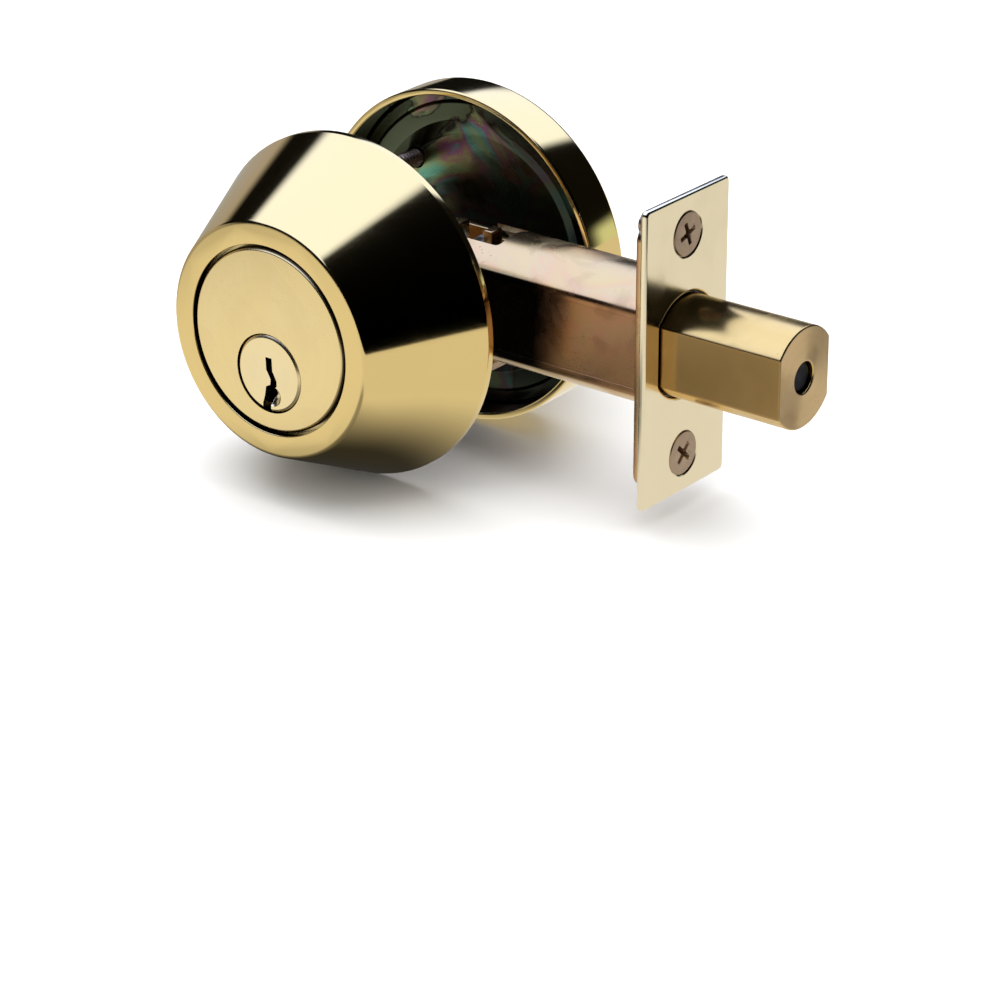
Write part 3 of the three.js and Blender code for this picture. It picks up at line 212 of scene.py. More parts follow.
def stamped(name, outlines, span, axis="Y", edge=0.15 * mm):
    """A slab with holes: outlines drawn in (x, z) for axis Y or (y, z) for axis X, with eased edges."""
    lowest, highest = min(span), max(span)
    curve = bpy.data.curves.new(name, "CURVE")
    curve.dimensions = "2D"
    curve.fill_mode = "BOTH"
    curve.extrude = (highest - lowest) / 2 - edge
    curve.bevel_depth = edge
    curve.bevel_resolution = 2 if edge else 0
    curve.offset = -edge
    for points in outlines:
        spline = curve.splines.new("POLY")
        spline.points.add(len(points) - 1)
        spline.use_cyclic_u = True
        for knot, (a, b) in zip(spline.points, points):
            knot.co = (a, b, 0, 1)
    drawn = new_piece(name + "_drawing", curve)
    mesh = bpy.data.meshes.new_from_object(drawn.evaluated_get(bpy.context.evaluated_depsgraph_get()))
    bpy.data.objects.remove(drawn)
    middle = (lowest + highest) / 2
    shift = Vector((middle, 0, 0) if axis == "X" else (0, middle, 0))
    mesh.transform(Matrix.Translation(shift) @ FACING[axis])
    bm = bmesh.new()
    bm.from_mesh(mesh)
    return piece_from(name, bm, 2e-6)


def lofted(name, outline, near, far, shrink, axis, centre):
    """A tapered plug between two heights: the outline at near, and shrunk by shrink at far."""
    bm = bmesh.new()
    rings = []
    for height, scale in ((near, 1), (far, shrink)):
        ring = []
        for a, b in outline:
            p, q = centre[0] + a * scale, centre[1] + b * scale
            ring.append(bm.verts.new((p, height, q) if axis == "Y" else (height, p, q)))
        rings.append(ring)
    count = len(outline)
    for i in range(count):
        j = (i + 1) % count
        bm.faces.new((rings[0][i], rings[0][j], rings[1][j], rings[1][i]))
    bm.faces.new(rings[0])
    bm.faces.new(rings[1])
    return piece_from(name, bm)


def with_cutters(piece, operation, others):
    for other in others:
        change = piece.modifiers.new("change", "BOOLEAN")
        change.operation = operation
        change.object = other
        change.solver = "EXACT"
        settled(piece)
        bpy.data.objects.remove(other)
    return piece


def bored(piece, *cutters):
    return with_cutters(piece, "DIFFERENCE", cutters)


def fused(piece, *others):
    return with_cutters(piece, "UNION", others)


def bar(name, x, y, z, edge=0):
    """A block between pairs of x, y and z, with its edges eased."""
    bm = bmesh.new()
    bmesh.ops.create_cube(bm, size=1)
    bmesh.ops.scale(bm, vec=(x[1] - x[0], y[1] - y[0], z[1] - z[0]), verts=bm.verts)
    bmesh.ops.translate(bm, vec=((x[0] + x[1]) / 2, (y[0] + y[1]) / 2, (z[0] + z[1]) / 2), verts=bm.verts)
    if edge:
        bmesh.ops.bevel(bm, geom=bm.edges[:], offset=edge, segments=3, profile=0.5, affect="EDGES")
    return piece_from(name, bm)


def threaded(name, radius, pitch, depth, span, axis, centre, sides=40, steps_per_turn=8):
    """A screw's shank: rings that rise and fall along a helix, closed by a point at each end."""
    start, end = span
    length = end - start
    steps = max(8, round(abs(length) / pitch * steps_per_turn))
    bm = bmesh.new()
    rings = []
    for step in range(steps + 1):
        height = start + length * step / steps
        fade = min(1, step / 6, (steps - step) / 6)
        ring = []
        for side in range(sides):
            a = 2 * math.pi * side / sides
            phase = (abs(height - start) / pitch - side / sides) % 1
            r = radius - depth * fade * (1 - abs(2 * phase - 1))
            p, q = centre[0] + r * math.cos(a), centre[1] + r * math.sin(a)
            ring.append(bm.verts.new((p, height, q) if axis == "Y" else (height, p, q)))
        rings.append(ring)
    for here, there in zip(rings, rings[1:]):
        for side in range(sides):
            after = (side + 1) % sides
            bm.faces.new((here[side], here[after], there[after], there[side]))
    bm.faces.new(rings[0])
    bm.faces.new(rings[-1])
    return piece_from(name, bm)


def fitted(piece, body, slot, material, *nodes):
    """Smooths the piece, gives it its finish, and lets it ride on its body in place of the nodes."""
    mesh = piece.data
    bm = bmesh.new()
    bm.from_mesh(mesh)
    bmesh.ops.dissolve_limit(bm, angle_limit=SAME_PLANE, verts=bm.verts, edges=bm.edges)
    for face in bm.faces:
        face.smooth = True
    for edge in bm.edges:
        if len(edge.link_faces) == 2:
            angle = edge.calc_face_angle(0)
            smaller, larger = sorted(face.calc_area() for face in edge.link_faces)
            beside_flat = angle > FLAT_ANGLE and larger > FLAT_RATIO * smaller
            edge.smooth = angle < SHARP_ANGLE and not beside_flat
    bm.to_mesh(mesh)
    bm.free()
    mesh.materials.clear()
    mesh.materials.append(material)
    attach(piece, body)
    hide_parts(*nodes)
    return piece


# ---------------------------------------------------------------- shader groups

def group(name, inputs, outputs):
    """A node group whose inputs are named with their values: a float, a vector, or None for a place."""
    tree = bpy.data.node_groups.new(name, "ShaderNodeTree")
    for label, value in inputs.items():
        kind = "NodeSocketFloat" if isinstance(value, float) else "NodeSocketVector"
        socket = tree.interface.new_socket(name=label, in_out="INPUT", socket_type=kind)
        if value is not None:
            socket.default_value = value
    for label in outputs:
        kind = "NodeSocketColor" if label == "Color" else "NodeSocketFloat"
        tree.interface.new_socket(name=label, in_out="OUTPUT", socket_type=kind)
    return tree, tree.nodes.new("NodeGroupInput"), tree.nodes.new("NodeGroupOutput")


def giving(tree, result, **values):
    """The group, with its values sent out of it."""
    for label, socket in values.items():
        tree.links.new(socket, result.inputs[label])
    return tree


def put(tree, kind, values=None, **settings):
    """Adds a node. A value is a number, a colour, or the socket of another node."""
    node = tree.nodes.new("ShaderNode" + kind)
    for name, value in settings.items():
        setattr(node, name, value)
    for key, value in (values or {}).items():
        socket = node.inputs[key]
        if isinstance(value, bpy.types.NodeSocket):
            tree.links.new(value, socket)
        else:
            socket.default_value = value
    return node


def maths(tree, operation, a, b=0.0, clamp=False):
    return put(tree, "Math", {0: a, 1: b}, operation=operation, use_clamp=clamp).outputs[0]


def times(tree, a, b):
    return maths(tree, "MULTIPLY", a, b)


def scaled_vector(tree, vector, scale):
    return put(tree, "VectorMath", {0: vector, 1: scale}, operation="MULTIPLY").outputs[0]


def noise(tree, vector, scale, detail=3.0, roughness=0.55, distortion=0.0):
    values = {"Vector": vector, "Scale": scale, "Detail": detail, "Roughness": roughness,
              "Distortion": distortion}
    return put(tree, "TexNoise", values).outputs["Fac"]


def band(tree, value, lowest, highest, to_low=0.0, to_high=1.0):
    values = {"Value": value, "From Min": lowest, "From Max": highest, "To Min": to_low, "To Max": to_high}
    return put(tree, "MapRange", values, interpolation_type="SMOOTHSTEP").outputs[0]


def drawn_grain_group():
    """Fine parallel lines, as a belt or a drawing die leaves them, along the axis that is shrunk most."""
    tree, given, result = group(
        "drawn_grain", {"Vector": None, "Stretch": (1, 1, 1), "Density": 1500.0}, ("Height", "Tone"))
    stretched = scaled_vector(tree, given.outputs["Vector"], given.outputs["Stretch"])
    fine = noise(tree, stretched, given.outputs["Density"], 4.0, 0.7)
    broad = noise(tree, stretched, times(tree, given.outputs["Density"], 0.08), 2.0)
    return giving(tree, result, Height=fine, Tone=broad)


def turning_marks_group():
    """Rings that a lathe tool leaves on a face, about a centre and in the plane that Spread keeps."""
    tree, given, result = group(
        "turning_marks", {"Vector": None, "Centre": (0, 0, 0), "Spread": (1, 0, 1), "Density": 3000.0},
        ("Height", "Tone"))
    offset = put(
        tree, "VectorMath", {0: given.outputs["Vector"], 1: given.outputs["Centre"]}, operation="SUBTRACT"
    ).outputs[0]
    flat = scaled_vector(tree, offset, given.outputs["Spread"])
    radius = put(tree, "VectorMath", {0: flat}, operation="LENGTH").outputs["Value"]
    along = put(tree, "CombineXYZ", {"X": radius}).outputs[0]
    fine = noise(tree, along, given.outputs["Density"], 3.0, 0.65)
    broad = noise(tree, along, times(tree, given.outputs["Density"], 0.12), 2.0)
    return giving(tree, result, Height=fine, Tone=broad)


def edge_wear_group():
    """Where handling has rubbed the high edges, broken up so that it isn't even."""
    tree, given, result = group(
        "edge_wear", {"Vector": None, "Reach": 0.06, "Breakup": 900.0}, ("Wear",))
    pointed = put(tree, "NewGeometry").outputs["Pointiness"]
    top = maths(tree, "ADD", given.outputs["Reach"], 0.5)
    raised = band(tree, pointed, 0.505, top)
    broken = band(tree, noise(tree, given.outputs["Vector"], given.outputs["Breakup"], 4.0), 0.35, 0.6)
    worn = maths(tree, "MULTIPLY", raised, broken, True)
    return giving(tree, result, Wear=times(tree, worn, 0.2))


def handling_group():
    """Faint smears and finger haze, with fine hairline scratches running two ways."""
    tree, given, result = group(
        "handling", {"Vector": None, "Smear Scale": 60.0, "Scratch Scale": 260.0}, ("Haze", "Scratches"))
    vector = given.outputs["Vector"]
    haze = band(tree, noise(tree, vector, given.outputs["Smear Scale"], 5.0, 0.6, 0.8), 0.42, 0.72)
    hairs = []
    for stretch in ((1.0, 0.04, 0.35), (0.06, 0.5, 1.0)):
        lines = noise(tree, scaled_vector(tree, vector, stretch), given.outputs["Scratch Scale"], 6.0, 0.75)
        hairs.append(band(tree, lines, 0.63, 0.7))
    return giving(tree, result, Haze=haze, Scratches=maths(tree, "MAXIMUM", hairs[0], hairs[1]))


def specks_group():
    """Small round pits and specks, scattered in loose clusters."""
    tree, given, result = group(
        "specks", {"Vector": None, "Scale": 1400.0, "Size": 0.22, "Cluster Scale": 110.0}, ("Specks",))
    vector = given.outputs["Vector"]
    cell = put(tree, "TexVoronoi", {"Vector": vector, "Scale": given.outputs["Scale"]}).outputs["Distance"]
    near = maths(tree, "LESS_THAN", cell, given.outputs["Size"])
    clusters = band(tree, noise(tree, vector, given.outputs["Cluster Scale"], 3.0), 0.5, 0.62)
    return giving(tree, result, Specks=times(tree, near, clusters))


def chromate_group():
    """The rainbow of a chromate film: colours follow the film's thickness, which drifts and pools."""
    tree, given, result = group(
        "chromate_film", {"Vector": None, "Scale": 70.0, "Drift": 0.0}, ("Color", "Thickness"))
    drifting = noise(tree, given.outputs["Vector"], given.outputs["Scale"], 3.0, 0.5, 1.1)
    thickness = maths(tree, "ADD", drifting, given.outputs["Drift"])
    ramp = put(tree, "ValToRGB", {"Fac": thickness})
    film = ramp.color_ramp
    stops = [
        (0.24, (0.11, 0.30, 0.26)), (0.38, (0.17, 0.45, 0.31)), (0.49, (0.32, 0.38, 0.17)),
        (0.55, (0.34, 0.22, 0.15)),
        (0.59, (0.34, 0.12, 0.25)), (0.64, (0.13, 0.36, 0.33)), (0.76, (0.28, 0.40, 0.20)),
    ]
    film.elements[0].position, film.elements[1].position = stops[0][0], stops[-1][0]
    film.elements[0].color, film.elements[1].color = (*stops[0][1], 1), (*stops[-1][1], 1)
    for place, tint in stops[1:-1]:
        film.elements.new(place).color = (*tint, 1)
    return giving(tree, result, Color=ramp.outputs["Color"], Thickness=thickness)


GRAIN = drawn_grain_group()
TURNING = turning_marks_group()
WEAR = edge_wear_group()
HANDLING = handling_group()
SPECKS = specks_group()
CHROMATE = chromate_group()


def placed(tree, made, **values):
    node = tree.nodes.new("ShaderNodeGroup")
    node.node_tree = made
    for key, value in values.items():
        socket = node.inputs[key.replace("_", " ")]
        if isinstance(value, bpy.types.NodeSocket):
            tree.links.new(value, socket)
        else:
            socket.default_value = value
    return node


def blended(tree, share, a, b, kind="MIX"):
    node = tree.nodes.new("ShaderNodeMix")
    node.data_type = "RGBA"
    node.blend_type = kind
    for socket, value in ((node.inputs[0], share), (node.inputs[6], a), (node.inputs[7], b)):
        if isinstance(value, bpy.types.NodeSocket):
            tree.links.new(value, socket)
        else:
            socket.default_value = value
    return node.outputs[2]


def shade(r, g, b):
    return (r, g, b, 1.0)


def distance_from(tree, place, axis="Y"):
    """Distance of a place from the frame's Y axis, or from its X axis."""
    across = scaled_vector(tree, place, (1, 0, 1) if axis == "Y" else (0, 1, 1))
    return put(tree, "VectorMath", {0: across}, operation="LENGTH").outputs["Value"]


class Finish:
    """A material with its Principled shader, its place on the piece, and a chain of bumps."""

    def __init__(self, name, metallic=1.0):
        self.material = bpy.data.materials.new(name)
        self.material.use_nodes = True
        self.tree = self.material.node_tree
        self.shader = self.tree.nodes["Principled BSDF"]
        self.shader.inputs["Metallic"].default_value = metallic
        self.place = put(self.tree, "TexCoord").outputs["Object"]
        self.normal = None

    def coordinates(self):
        return put(self.tree, "SeparateXYZ", {"Vector": self.place}).outputs

    def bump(self, height, strength, distance):
        values = {"Height": height, "Strength": strength, "Distance": distance}
        if self.normal:
            values["Normal"] = self.normal
        self.normal = put(self.tree, "Bump", values).outputs[0]
        self.tree.links.new(self.normal, self.shader.inputs["Normal"])

    def colour(self, socket):
        self.tree.links.new(socket, self.shader.inputs["Base Color"])

    def roughness(self, socket):
        self.tree.links.new(socket, self.shader.inputs["Roughness"])

    def hazed(self, handling, clean, smeared):
        """Roughness that rises from clean metal to where hands have smeared it."""
        self.roughness(band(self.tree, handling.outputs["Haze"], 0.0, 1.0, clean, smeared))


# ---------------------------------------------------------------- finishes

BRASS = (0.87, 0.66, 0.28)
DISC_R = 17.45 * mm
PLUG_HEAD_R = 7.3 * mm


def tinted(colour, k):
    return shade(*(min(1, c * k) for c in colour))


def polished_brass():
    """Mirror brass under clear lacquer, with a fine satin face where the front is turned flat, and painted
    shade inside the rose's cup and down the housing's bore.
    """
    made = Finish("polished_brass")
    tree = made.tree
    handling = placed(tree, HANDLING, Vector=made.place, Smear_Scale=38.0, Scratch_Scale=330.0)
    wear = placed(tree, WEAR, Vector=made.place)
    drift = noise(tree, made.place, 45.0, 3.0)
    base = blended(tree, drift, tinted(BRASS, 0.96), tinted(BRASS, 1.03))
    base = blended(tree, wear.outputs[0], base, shade(0.95, 0.78, 0.42))
    height = made.coordinates()["Y"]
    radius = distance_from(tree, made.place)
    # Painted shade: near black inside the rose's cup and on the housing's bore wall just behind the face.
    in_rose = times(tree, band(tree, height, ROOM_SIDE_Y + 0.25 * mm, ROOM_SIDE_Y + 0.7 * mm),
                    band(tree, height, ROOM_SIDE_Y + 8 * mm, ROOM_SIDE_Y + 8.6 * mm, 1.0, 0.0))
    in_rose = times(tree, in_rose,
                    band(tree, radius, ROSE_R - 1 * mm, ROSE_R - 0.6 * mm, 1.0, 0.0))
    in_bore = times(tree, band(tree, height, FACE_Y + 0.2 * mm, FACE_Y + 0.5 * mm),
                    band(tree, radius, DISC_R + 0.7 * mm, DISC_R + 0.9 * mm, 1.0, 0.0))
    in_bore = times(tree, in_bore, band(tree, height, -20 * mm, -10 * mm, 1.0, 0.0))
    painted_hollow_shade = maths(tree, "MAXIMUM", in_rose, in_bore)
    made.colour(blended(tree, painted_hollow_shade, base, shade(0.06, 0.045, 0.025)))
    front = band(tree, height, FACE_Y + 0.02 * mm, FACE_Y + 0.2 * mm, 1.0, 0.0)
    gloss = maths(tree, "MULTIPLY_ADD", handling.outputs["Haze"], 0.05)
    gloss.node.inputs[2].default_value = 0.085
    made.roughness(maths(tree, "MAXIMUM", gloss, times(tree, front, 0.24)))
    rings = placed(tree, TURNING, Vector=made.place, Density=2600.0)
    made.bump(times(tree, rings.outputs["Height"], front), 0.25, 0.01 * mm)
    made.bump(handling.outputs["Scratches"], 0.03, 0.003 * mm)
    return made.material


def satin_brass():
    """Brass turned flat and left satin, with painted shade where the disc's side goes down into its gap."""
    made = Finish("satin_brass")
    tree = made.tree
    colour = (0.94, 0.74, 0.36)
    rings = placed(tree, TURNING, Vector=made.place, Density=2300.0)
    handling = placed(tree, HANDLING, Vector=made.place, Smear_Scale=70.0)
    wear = placed(tree, WEAR, Vector=made.place)
    base = blended(tree, rings.outputs["Tone"], tinted(colour, 0.95), tinted(colour, 1.04))
    base = blended(tree, wear.outputs[0], base, shade(0.97, 0.82, 0.5))
    depth = made.coordinates()["Y"]
    # Painted shade: near black from just behind the face, down the disc's side into its gap.
    painted_gap_shade = times(tree, band(tree, depth, FACE_Y + 0.2 * mm, FACE_Y + 0.4 * mm),
                 band(tree, depth, FACE_Y + 2 * mm, FACE_Y + 3 * mm, 1.0, 0.0))
    made.colour(blended(tree, painted_gap_shade, base, shade(0.05, 0.035, 0.02)))
    made.hazed(handling, 0.26, 0.30)
    made.bump(rings.outputs["Height"], 0.18, 0.006 * mm)
    return made.material


def plug_brass():
    """Bright turned brass, whose rings draw the light out into wedges."""
    made = Finish("plug_brass")
    tree = made.tree
    rings = placed(tree, TURNING, Vector=made.place, Density=3400.0, Centre=(0, 0, HUB_Z))
    wear = placed(tree, WEAR, Vector=made.place)
    base = blended(tree, rings.outputs["Tone"], shade(0.93, 0.75, 0.40), shade(1.0, 0.84, 0.5))
    base = blended(tree, wear.outputs[0], base, shade(1.0, 0.9, 0.62))
    depth = made.coordinates()["Y"]
    # Painted shade: near black more than 1.5 mm behind the face, inside the keyway.
    painted_keyway_shade = band(tree, depth, FACE_Y + 1.5 * mm, FACE_Y + 2.1 * mm)
    made.colour(blended(tree, painted_keyway_shade, base, shade(0.03, 0.022, 0.014)))
    made.roughness(band(tree, rings.outputs["Tone"], 0.3, 0.7, 0.16, 0.24))
    made.shader.inputs["Anisotropic"].default_value = 0.7
    spoke = put(tree, "VectorMath", {0: made.place, 1: (0, 0, HUB_Z)}, operation="SUBTRACT").outputs[0]
    around = put(tree, "VectorMath", {0: spoke, 1: (0, 1, 0)}, operation="CROSS_PRODUCT").outputs[0]
    tangent = put(tree, "VectorTransform", {"Vector": around}, convert_from="OBJECT",
                  convert_to="WORLD").outputs[0]
    tree.links.new(tangent, made.shader.inputs["Tangent"])
    made.bump(rings.outputs["Height"], 0.3, 0.006 * mm)
    return made.material


def bolt_brass():
    """Drawn brass along the bolt's sides, turned rings on its end."""
    made = Finish("bolt_brass")
    tree = made.tree
    grain = placed(tree, GRAIN, Vector=made.place, Stretch=(0.02, 1, 1), Density=2600.0)
    rings = placed(tree, TURNING, Vector=made.place, Spread=(0, 1, 1), Density=3600.0)
    specks = placed(tree, SPECKS, Vector=made.place, Scale=1500.0, Size=0.16, Cluster_Scale=160.0)
    handling = placed(tree, HANDLING, Vector=made.place, Smear_Scale=110.0)
    along = made.coordinates()["X"]
    end = band(tree, along, BOLT_FRONT_X - 0.12 * mm, BOLT_FRONT_X - 0.04 * mm)
    sides = blended(tree, grain.outputs["Tone"], shade(0.74, 0.48, 0.15), shade(0.86, 0.59, 0.21))
    face = blended(tree, rings.outputs["Tone"], shade(0.62, 0.43, 0.21), shade(0.74, 0.54, 0.29))
    base = blended(tree, end, sides, face)
    # Painted reflection: the bolt's flats are darkened towards deep brown, standing in for a dark
    # reflection.
    across = made.coordinates()["Y"]
    flat = band(tree, maths(tree, "ABSOLUTE", across), BOLT_HALF - 0.3 * mm, BOLT_HALF - 0.05 * mm)
    base = blended(tree, times(tree, flat, 0.8), base, shade(0.31, 0.185, 0.07))
    made.colour(blended(tree, specks.outputs[0], base, shade(0.42, 0.28, 0.12)))
    soft = band(tree, handling.outputs["Haze"], 0.0, 1.0, 0.19, 0.26)
    made.roughness(maths(tree, "ADD", soft, times(tree, end, 0.16)))
    made.shader.inputs["Anisotropic"].default_value = 0.85
    tangent = put(tree, "Tangent", direction_type="RADIAL", axis="X").outputs[0]
    tree.links.new(tangent, made.shader.inputs["Tangent"])
    made.bump(blended(tree, end, grain.outputs["Height"], rings.outputs["Height"]), 0.3, 0.006 * mm)
    return made.material


def faceplate_brass():
    made = Finish("faceplate_brass")
    tree = made.tree
    grain = placed(tree, GRAIN, Vector=made.place, Stretch=(1, 1, 0.03), Density=1900.0)
    handling = placed(tree, HANDLING, Vector=made.place, Smear_Scale=85.0, Scratch_Scale=300.0)
    wear = placed(tree, WEAR, Vector=made.place)
    base = blended(tree, grain.outputs["Tone"], shade(0.95, 0.82, 0.55), shade(1.0, 0.88, 0.62))
    base = blended(tree, wear.outputs[0], base, shade(1.0, 0.93, 0.72))
    place = made.coordinates()
    # Painted shade: near black on the wall of the bolt's opening, just behind the plate's face.
    ring = band(tree, distance_from(tree, made.place, axis="X"), BOLT_R + 0.45 * mm, BOLT_R + 0.65 * mm,
                1.0, 0.0)
    below = band(tree, place["X"], PLATE_X - 0.3 * mm, PLATE_X - 0.12 * mm, 1.0, 0.0)
    within = band(tree, maths(tree, "ABSOLUTE", place["Y"]), BOLT_HALF + 0.6 * mm, BOLT_HALF + 0.9 * mm,
                  1.0, 0.0)
    opening = times(tree, ring, times(tree, below, within))
    made.colour(blended(tree, opening, base, shade(0.04, 0.03, 0.02)))
    made.hazed(handling, 0.18, 0.26)
    made.bump(grain.outputs["Height"], 0.12, 0.006 * mm)
    made.bump(handling.outputs["Scratches"], 0.02, 0.003 * mm)
    return made.material


def yellow_zinc():
    """Zinc plate with a thin yellow chromate that turns pink and olive, specked where it has broken, with a
    painted reflection darkening the tube's flats.
    """
    made = Finish("yellow_zinc")
    tree = made.tree
    film = placed(tree, CHROMATE, Vector=made.place, Scale=55.0, Drift=0.02)
    specks = placed(tree, SPECKS, Vector=made.place, Scale=1300.0, Size=0.24, Cluster_Scale=95.0)
    handling = placed(tree, HANDLING, Vector=made.place, Smear_Scale=120.0)
    grain = placed(tree, GRAIN, Vector=made.place, Stretch=(0.05, 1, 1), Density=1500.0)
    warm = blended(
        tree, noise(tree, made.place, 85.0, 4.0, 0.6, 0.6), shade(0.78, 0.57, 0.22), shade(0.77, 0.47, 0.26)
    )
    base = blended(tree, 0.12, warm, film.outputs["Color"])
    base = blended(tree, times(tree, specks.outputs[0], 0.5), base, shade(0.36, 0.24, 0.16))
    place = made.coordinates()
    # Painted reflection on the tube's flats: near black towards the rear and brown-pink further forward,
    # multiplied into the colour; thick carries this painted reflection, not a film's thickness.
    flat = band(tree, maths(tree, "ABSOLUTE", place["Y"]), TUBE_HALF - 0.45 * mm, TUBE_HALF - 0.25 * mm)
    flat = times(tree, flat,
                 band(tree, place["X"], PLATE_X - 3 * mm, PLATE_X - 2 * mm, 1.0, 0.0))
    edge = noise(tree, made.place, 120.0, 3.0, 0.5, 0.6)
    reach = put(tree, "Math", {0: edge, 1: 5 * mm, 2: place["X"]}, operation="MULTIPLY_ADD").outputs[0]
    thick = blended(tree, band(tree, reach, 35.5 * mm, 44 * mm), shade(0.012, 0.012, 0.012),
                    shade(0.62, 0.49, 0.5))
    base = blended(tree, flat, base, blended(tree, 1.0, base, thick, "MULTIPLY"))
    made.colour(base)
    made.hazed(handling, 0.24, 0.4)
    made.bump(grain.outputs["Height"], 0.2, 0.01 * mm)
    made.bump(specks.outputs[0], 0.3, 0.01 * mm)
    return made.material


def dark_zinc():
    """Dark chromate on the rose's plate, iridescent in pools with stained edges, with painted shade
    darkening it away from its upper left.
    """
    made = Finish("dark_zinc")
    tree = made.tree
    film = placed(tree, CHROMATE, Vector=made.place, Scale=62.0, Drift=0.0)
    pools = noise(tree, made.place, 42.0, 5.0, 0.55, 0.9)
    inside = band(tree, pools, 0.47, 0.54)
    rim = times(tree, band(tree, pools, 0.465, 0.475), band(tree, pools, 0.475, 0.49, 1.0, 0.0))
    # Painted shade: corner is the share of painted light, lighter towards the plate's upper left and darker
    # away from it, and the iridescent pools fade with it.
    place = made.coordinates()
    corner = band(tree, maths(tree, "SUBTRACT", place["Z"], place["X"]), 8 * mm, 30 * mm, 0.14, 1.0)
    plain = blended(tree, corner, shade(0.02, 0.024, 0.018), shade(0.085, 0.10, 0.06))
    base = blended(tree, times(tree, inside, corner), plain, film.outputs["Color"])
    made.colour(blended(tree, rim, base, shade(0.03, 0.02, 0.015)))
    made.roughness(band(tree, pools, 0.4, 0.6, 0.2, 0.3))
    made.bump(noise(tree, made.place, 900.0, 3.0), 0.1, 0.01 * mm)
    return made.material


def steel(name, colour, roughness, stretch=(1, 0.05, 1), density=1400.0, spots=0.0):
    """Drawn or plated steel with its grain, haze and worn edges."""
    made = Finish(name)
    tree = made.tree
    grain = placed(tree, GRAIN, Vector=made.place, Stretch=stretch, Density=density)
    handling = placed(tree, HANDLING, Vector=made.place, Smear_Scale=130.0)
    wear = placed(tree, WEAR, Vector=made.place)
    base = blended(tree, grain.outputs["Tone"], tinted(colour, 0.82), tinted(colour, 1.12))
    if spots:
        specks = placed(tree, SPECKS, Vector=made.place, Scale=1100.0, Size=0.3)
        base = blended(tree, times(tree, specks.outputs[0], spots), base, tinted(colour, 0.4))
    made.colour(blended(tree, wear.outputs[0], base, tinted(colour, 1.5)))
    made.hazed(handling, roughness, roughness + 0.14)
    made.bump(grain.outputs["Height"], 0.25, 0.01 * mm)
    return made.material


def cast_zinc():
    made = Finish("cast_zinc")
    tree = made.tree
    skin = noise(tree, made.place, 1600.0, 5.0, 0.65)
    flow = noise(tree, made.place, 150.0, 3.0, 0.5, 1.5)
    wear = placed(tree, WEAR, Vector=made.place)
    base = blended(tree, flow, shade(0.42, 0.42, 0.41), shade(0.6, 0.6, 0.58))
    made.colour(blended(tree, wear.outputs[0], base, shade(0.8, 0.8, 0.78)))
    made.roughness(band(tree, skin, 0.3, 0.7, 0.38, 0.55))
    made.bump(skin, 0.4, 0.02 * mm)
    return made.material


def bronze_screw():
    """Antique bronze plate, mottled and specked dark, rubbed bright round the rim of the head."""
    made = Finish("bronze_screw")
    tree = made.tree
    mottle = noise(tree, made.place, 700.0, 4.0, 0.6)
    wear = placed(tree, WEAR, Vector=made.place, Reach=0.04)
    specks = placed(tree, SPECKS, Vector=made.place, Scale=1500.0, Cluster_Scale=300.0)
    base = blended(tree, mottle, shade(0.42, 0.30, 0.20), shade(0.5, 0.37, 0.26))
    base = blended(tree, specks.outputs[0], base, shade(0.14, 0.09, 0.05))
    made.colour(blended(tree, wear.outputs[0], base, shade(0.66, 0.52, 0.37)))
    made.roughness(band(tree, mottle, 0.3, 0.7, 0.3, 0.44))
    made.bump(mottle, 0.2, 0.01 * mm)
    return made.material


def nylon():
    made = Finish("nylon", metallic=0.0)
    tree = made.tree
    mottle = noise(tree, made.place, 240.0, 4.0)
    made.colour(blended(tree, mottle, shade(0.72, 0.69, 0.6), shade(0.82, 0.8, 0.73)))
    made.roughness(band(tree, mottle, 0.3, 0.7, 0.42, 0.55))
    made.bump(noise(tree, made.place, 1800.0, 3.0), 0.15, 0.01 * mm)
    made.shader.inputs["Subsurface Weight"].default_value = 0.1
    return made.material


POLISHED = polished_brass()
SATIN = satin_brass()
PLUG = plug_brass()
BOLT = bolt_brass()
FACEPLATE = faceplate_brass()
YELLOW = yellow_zinc()
DARK = dark_zinc()
CAST = cast_zinc()
BRONZE = bronze_screw()
NYLON = nylon()
PLATED = steel("plated_steel", (0.68, 0.67, 0.63), 0.26, spots=0.3)
SPRING = steel("spring_steel", (0.56, 0.57, 0.59), 0.22, density=1800.0)
HARD = steel("hardened_steel", (0.022, 0.023, 0.03), 0.42, stretch=(0.1, 1, 1))


# ---------------------------------------------------------------- exterior side

def exterior_housing():
    """The cone that covers the cylinder: a thick-walled spinning with a flat turned face."""
    bore = 18.05 * mm
    front_r, wall, lip = 22.3 * mm, 2.2 * mm, 1.6 * mm
    pocket_r, pocket_y = HOUSING_R - 1.8 * mm, KEY_SIDE_Y - 1.9 * mm
    outline = eased([
        (bore, FACE_Y, 0.22 * mm),
        (front_r, FACE_Y, 1.0 * mm),
        (HOUSING_R, KEY_SIDE_Y - lip, 0.35 * mm),
        (HOUSING_R, KEY_SIDE_Y, 0.3 * mm),
        (pocket_r, KEY_SIDE_Y),
        (pocket_r, pocket_y),
        (pocket_r - 1.2 * mm, pocket_y),
        (front_r - wall, FACE_Y + 2.4 * mm),
        (bore, FACE_Y + 2.4 * mm),
    ])
    piece = turned("exterior_housing_skin", outline, sides=256)
    return fitted(piece, "lock_body", "polished_brass", POLISHED, "exterior_housing")


PLUG_R = 6.35 * mm
PLUG_BORE_R = 6.45 * mm
PLUG_HEAD_THICK = 1.5 * mm
LUG_R = 4.3 * mm  # from the hub's axis to the lugs of the plug and the tailpiece
LUG_LEAD = 135  # degrees from the tailpiece's lug to the plug's, with both at rest
DISC_FRONT_Y = low("cylinder_shell").y
SHELL_REAR_Y = high("cylinder_shell").y
BIBLE_TOP = high("cylinder_shell").z


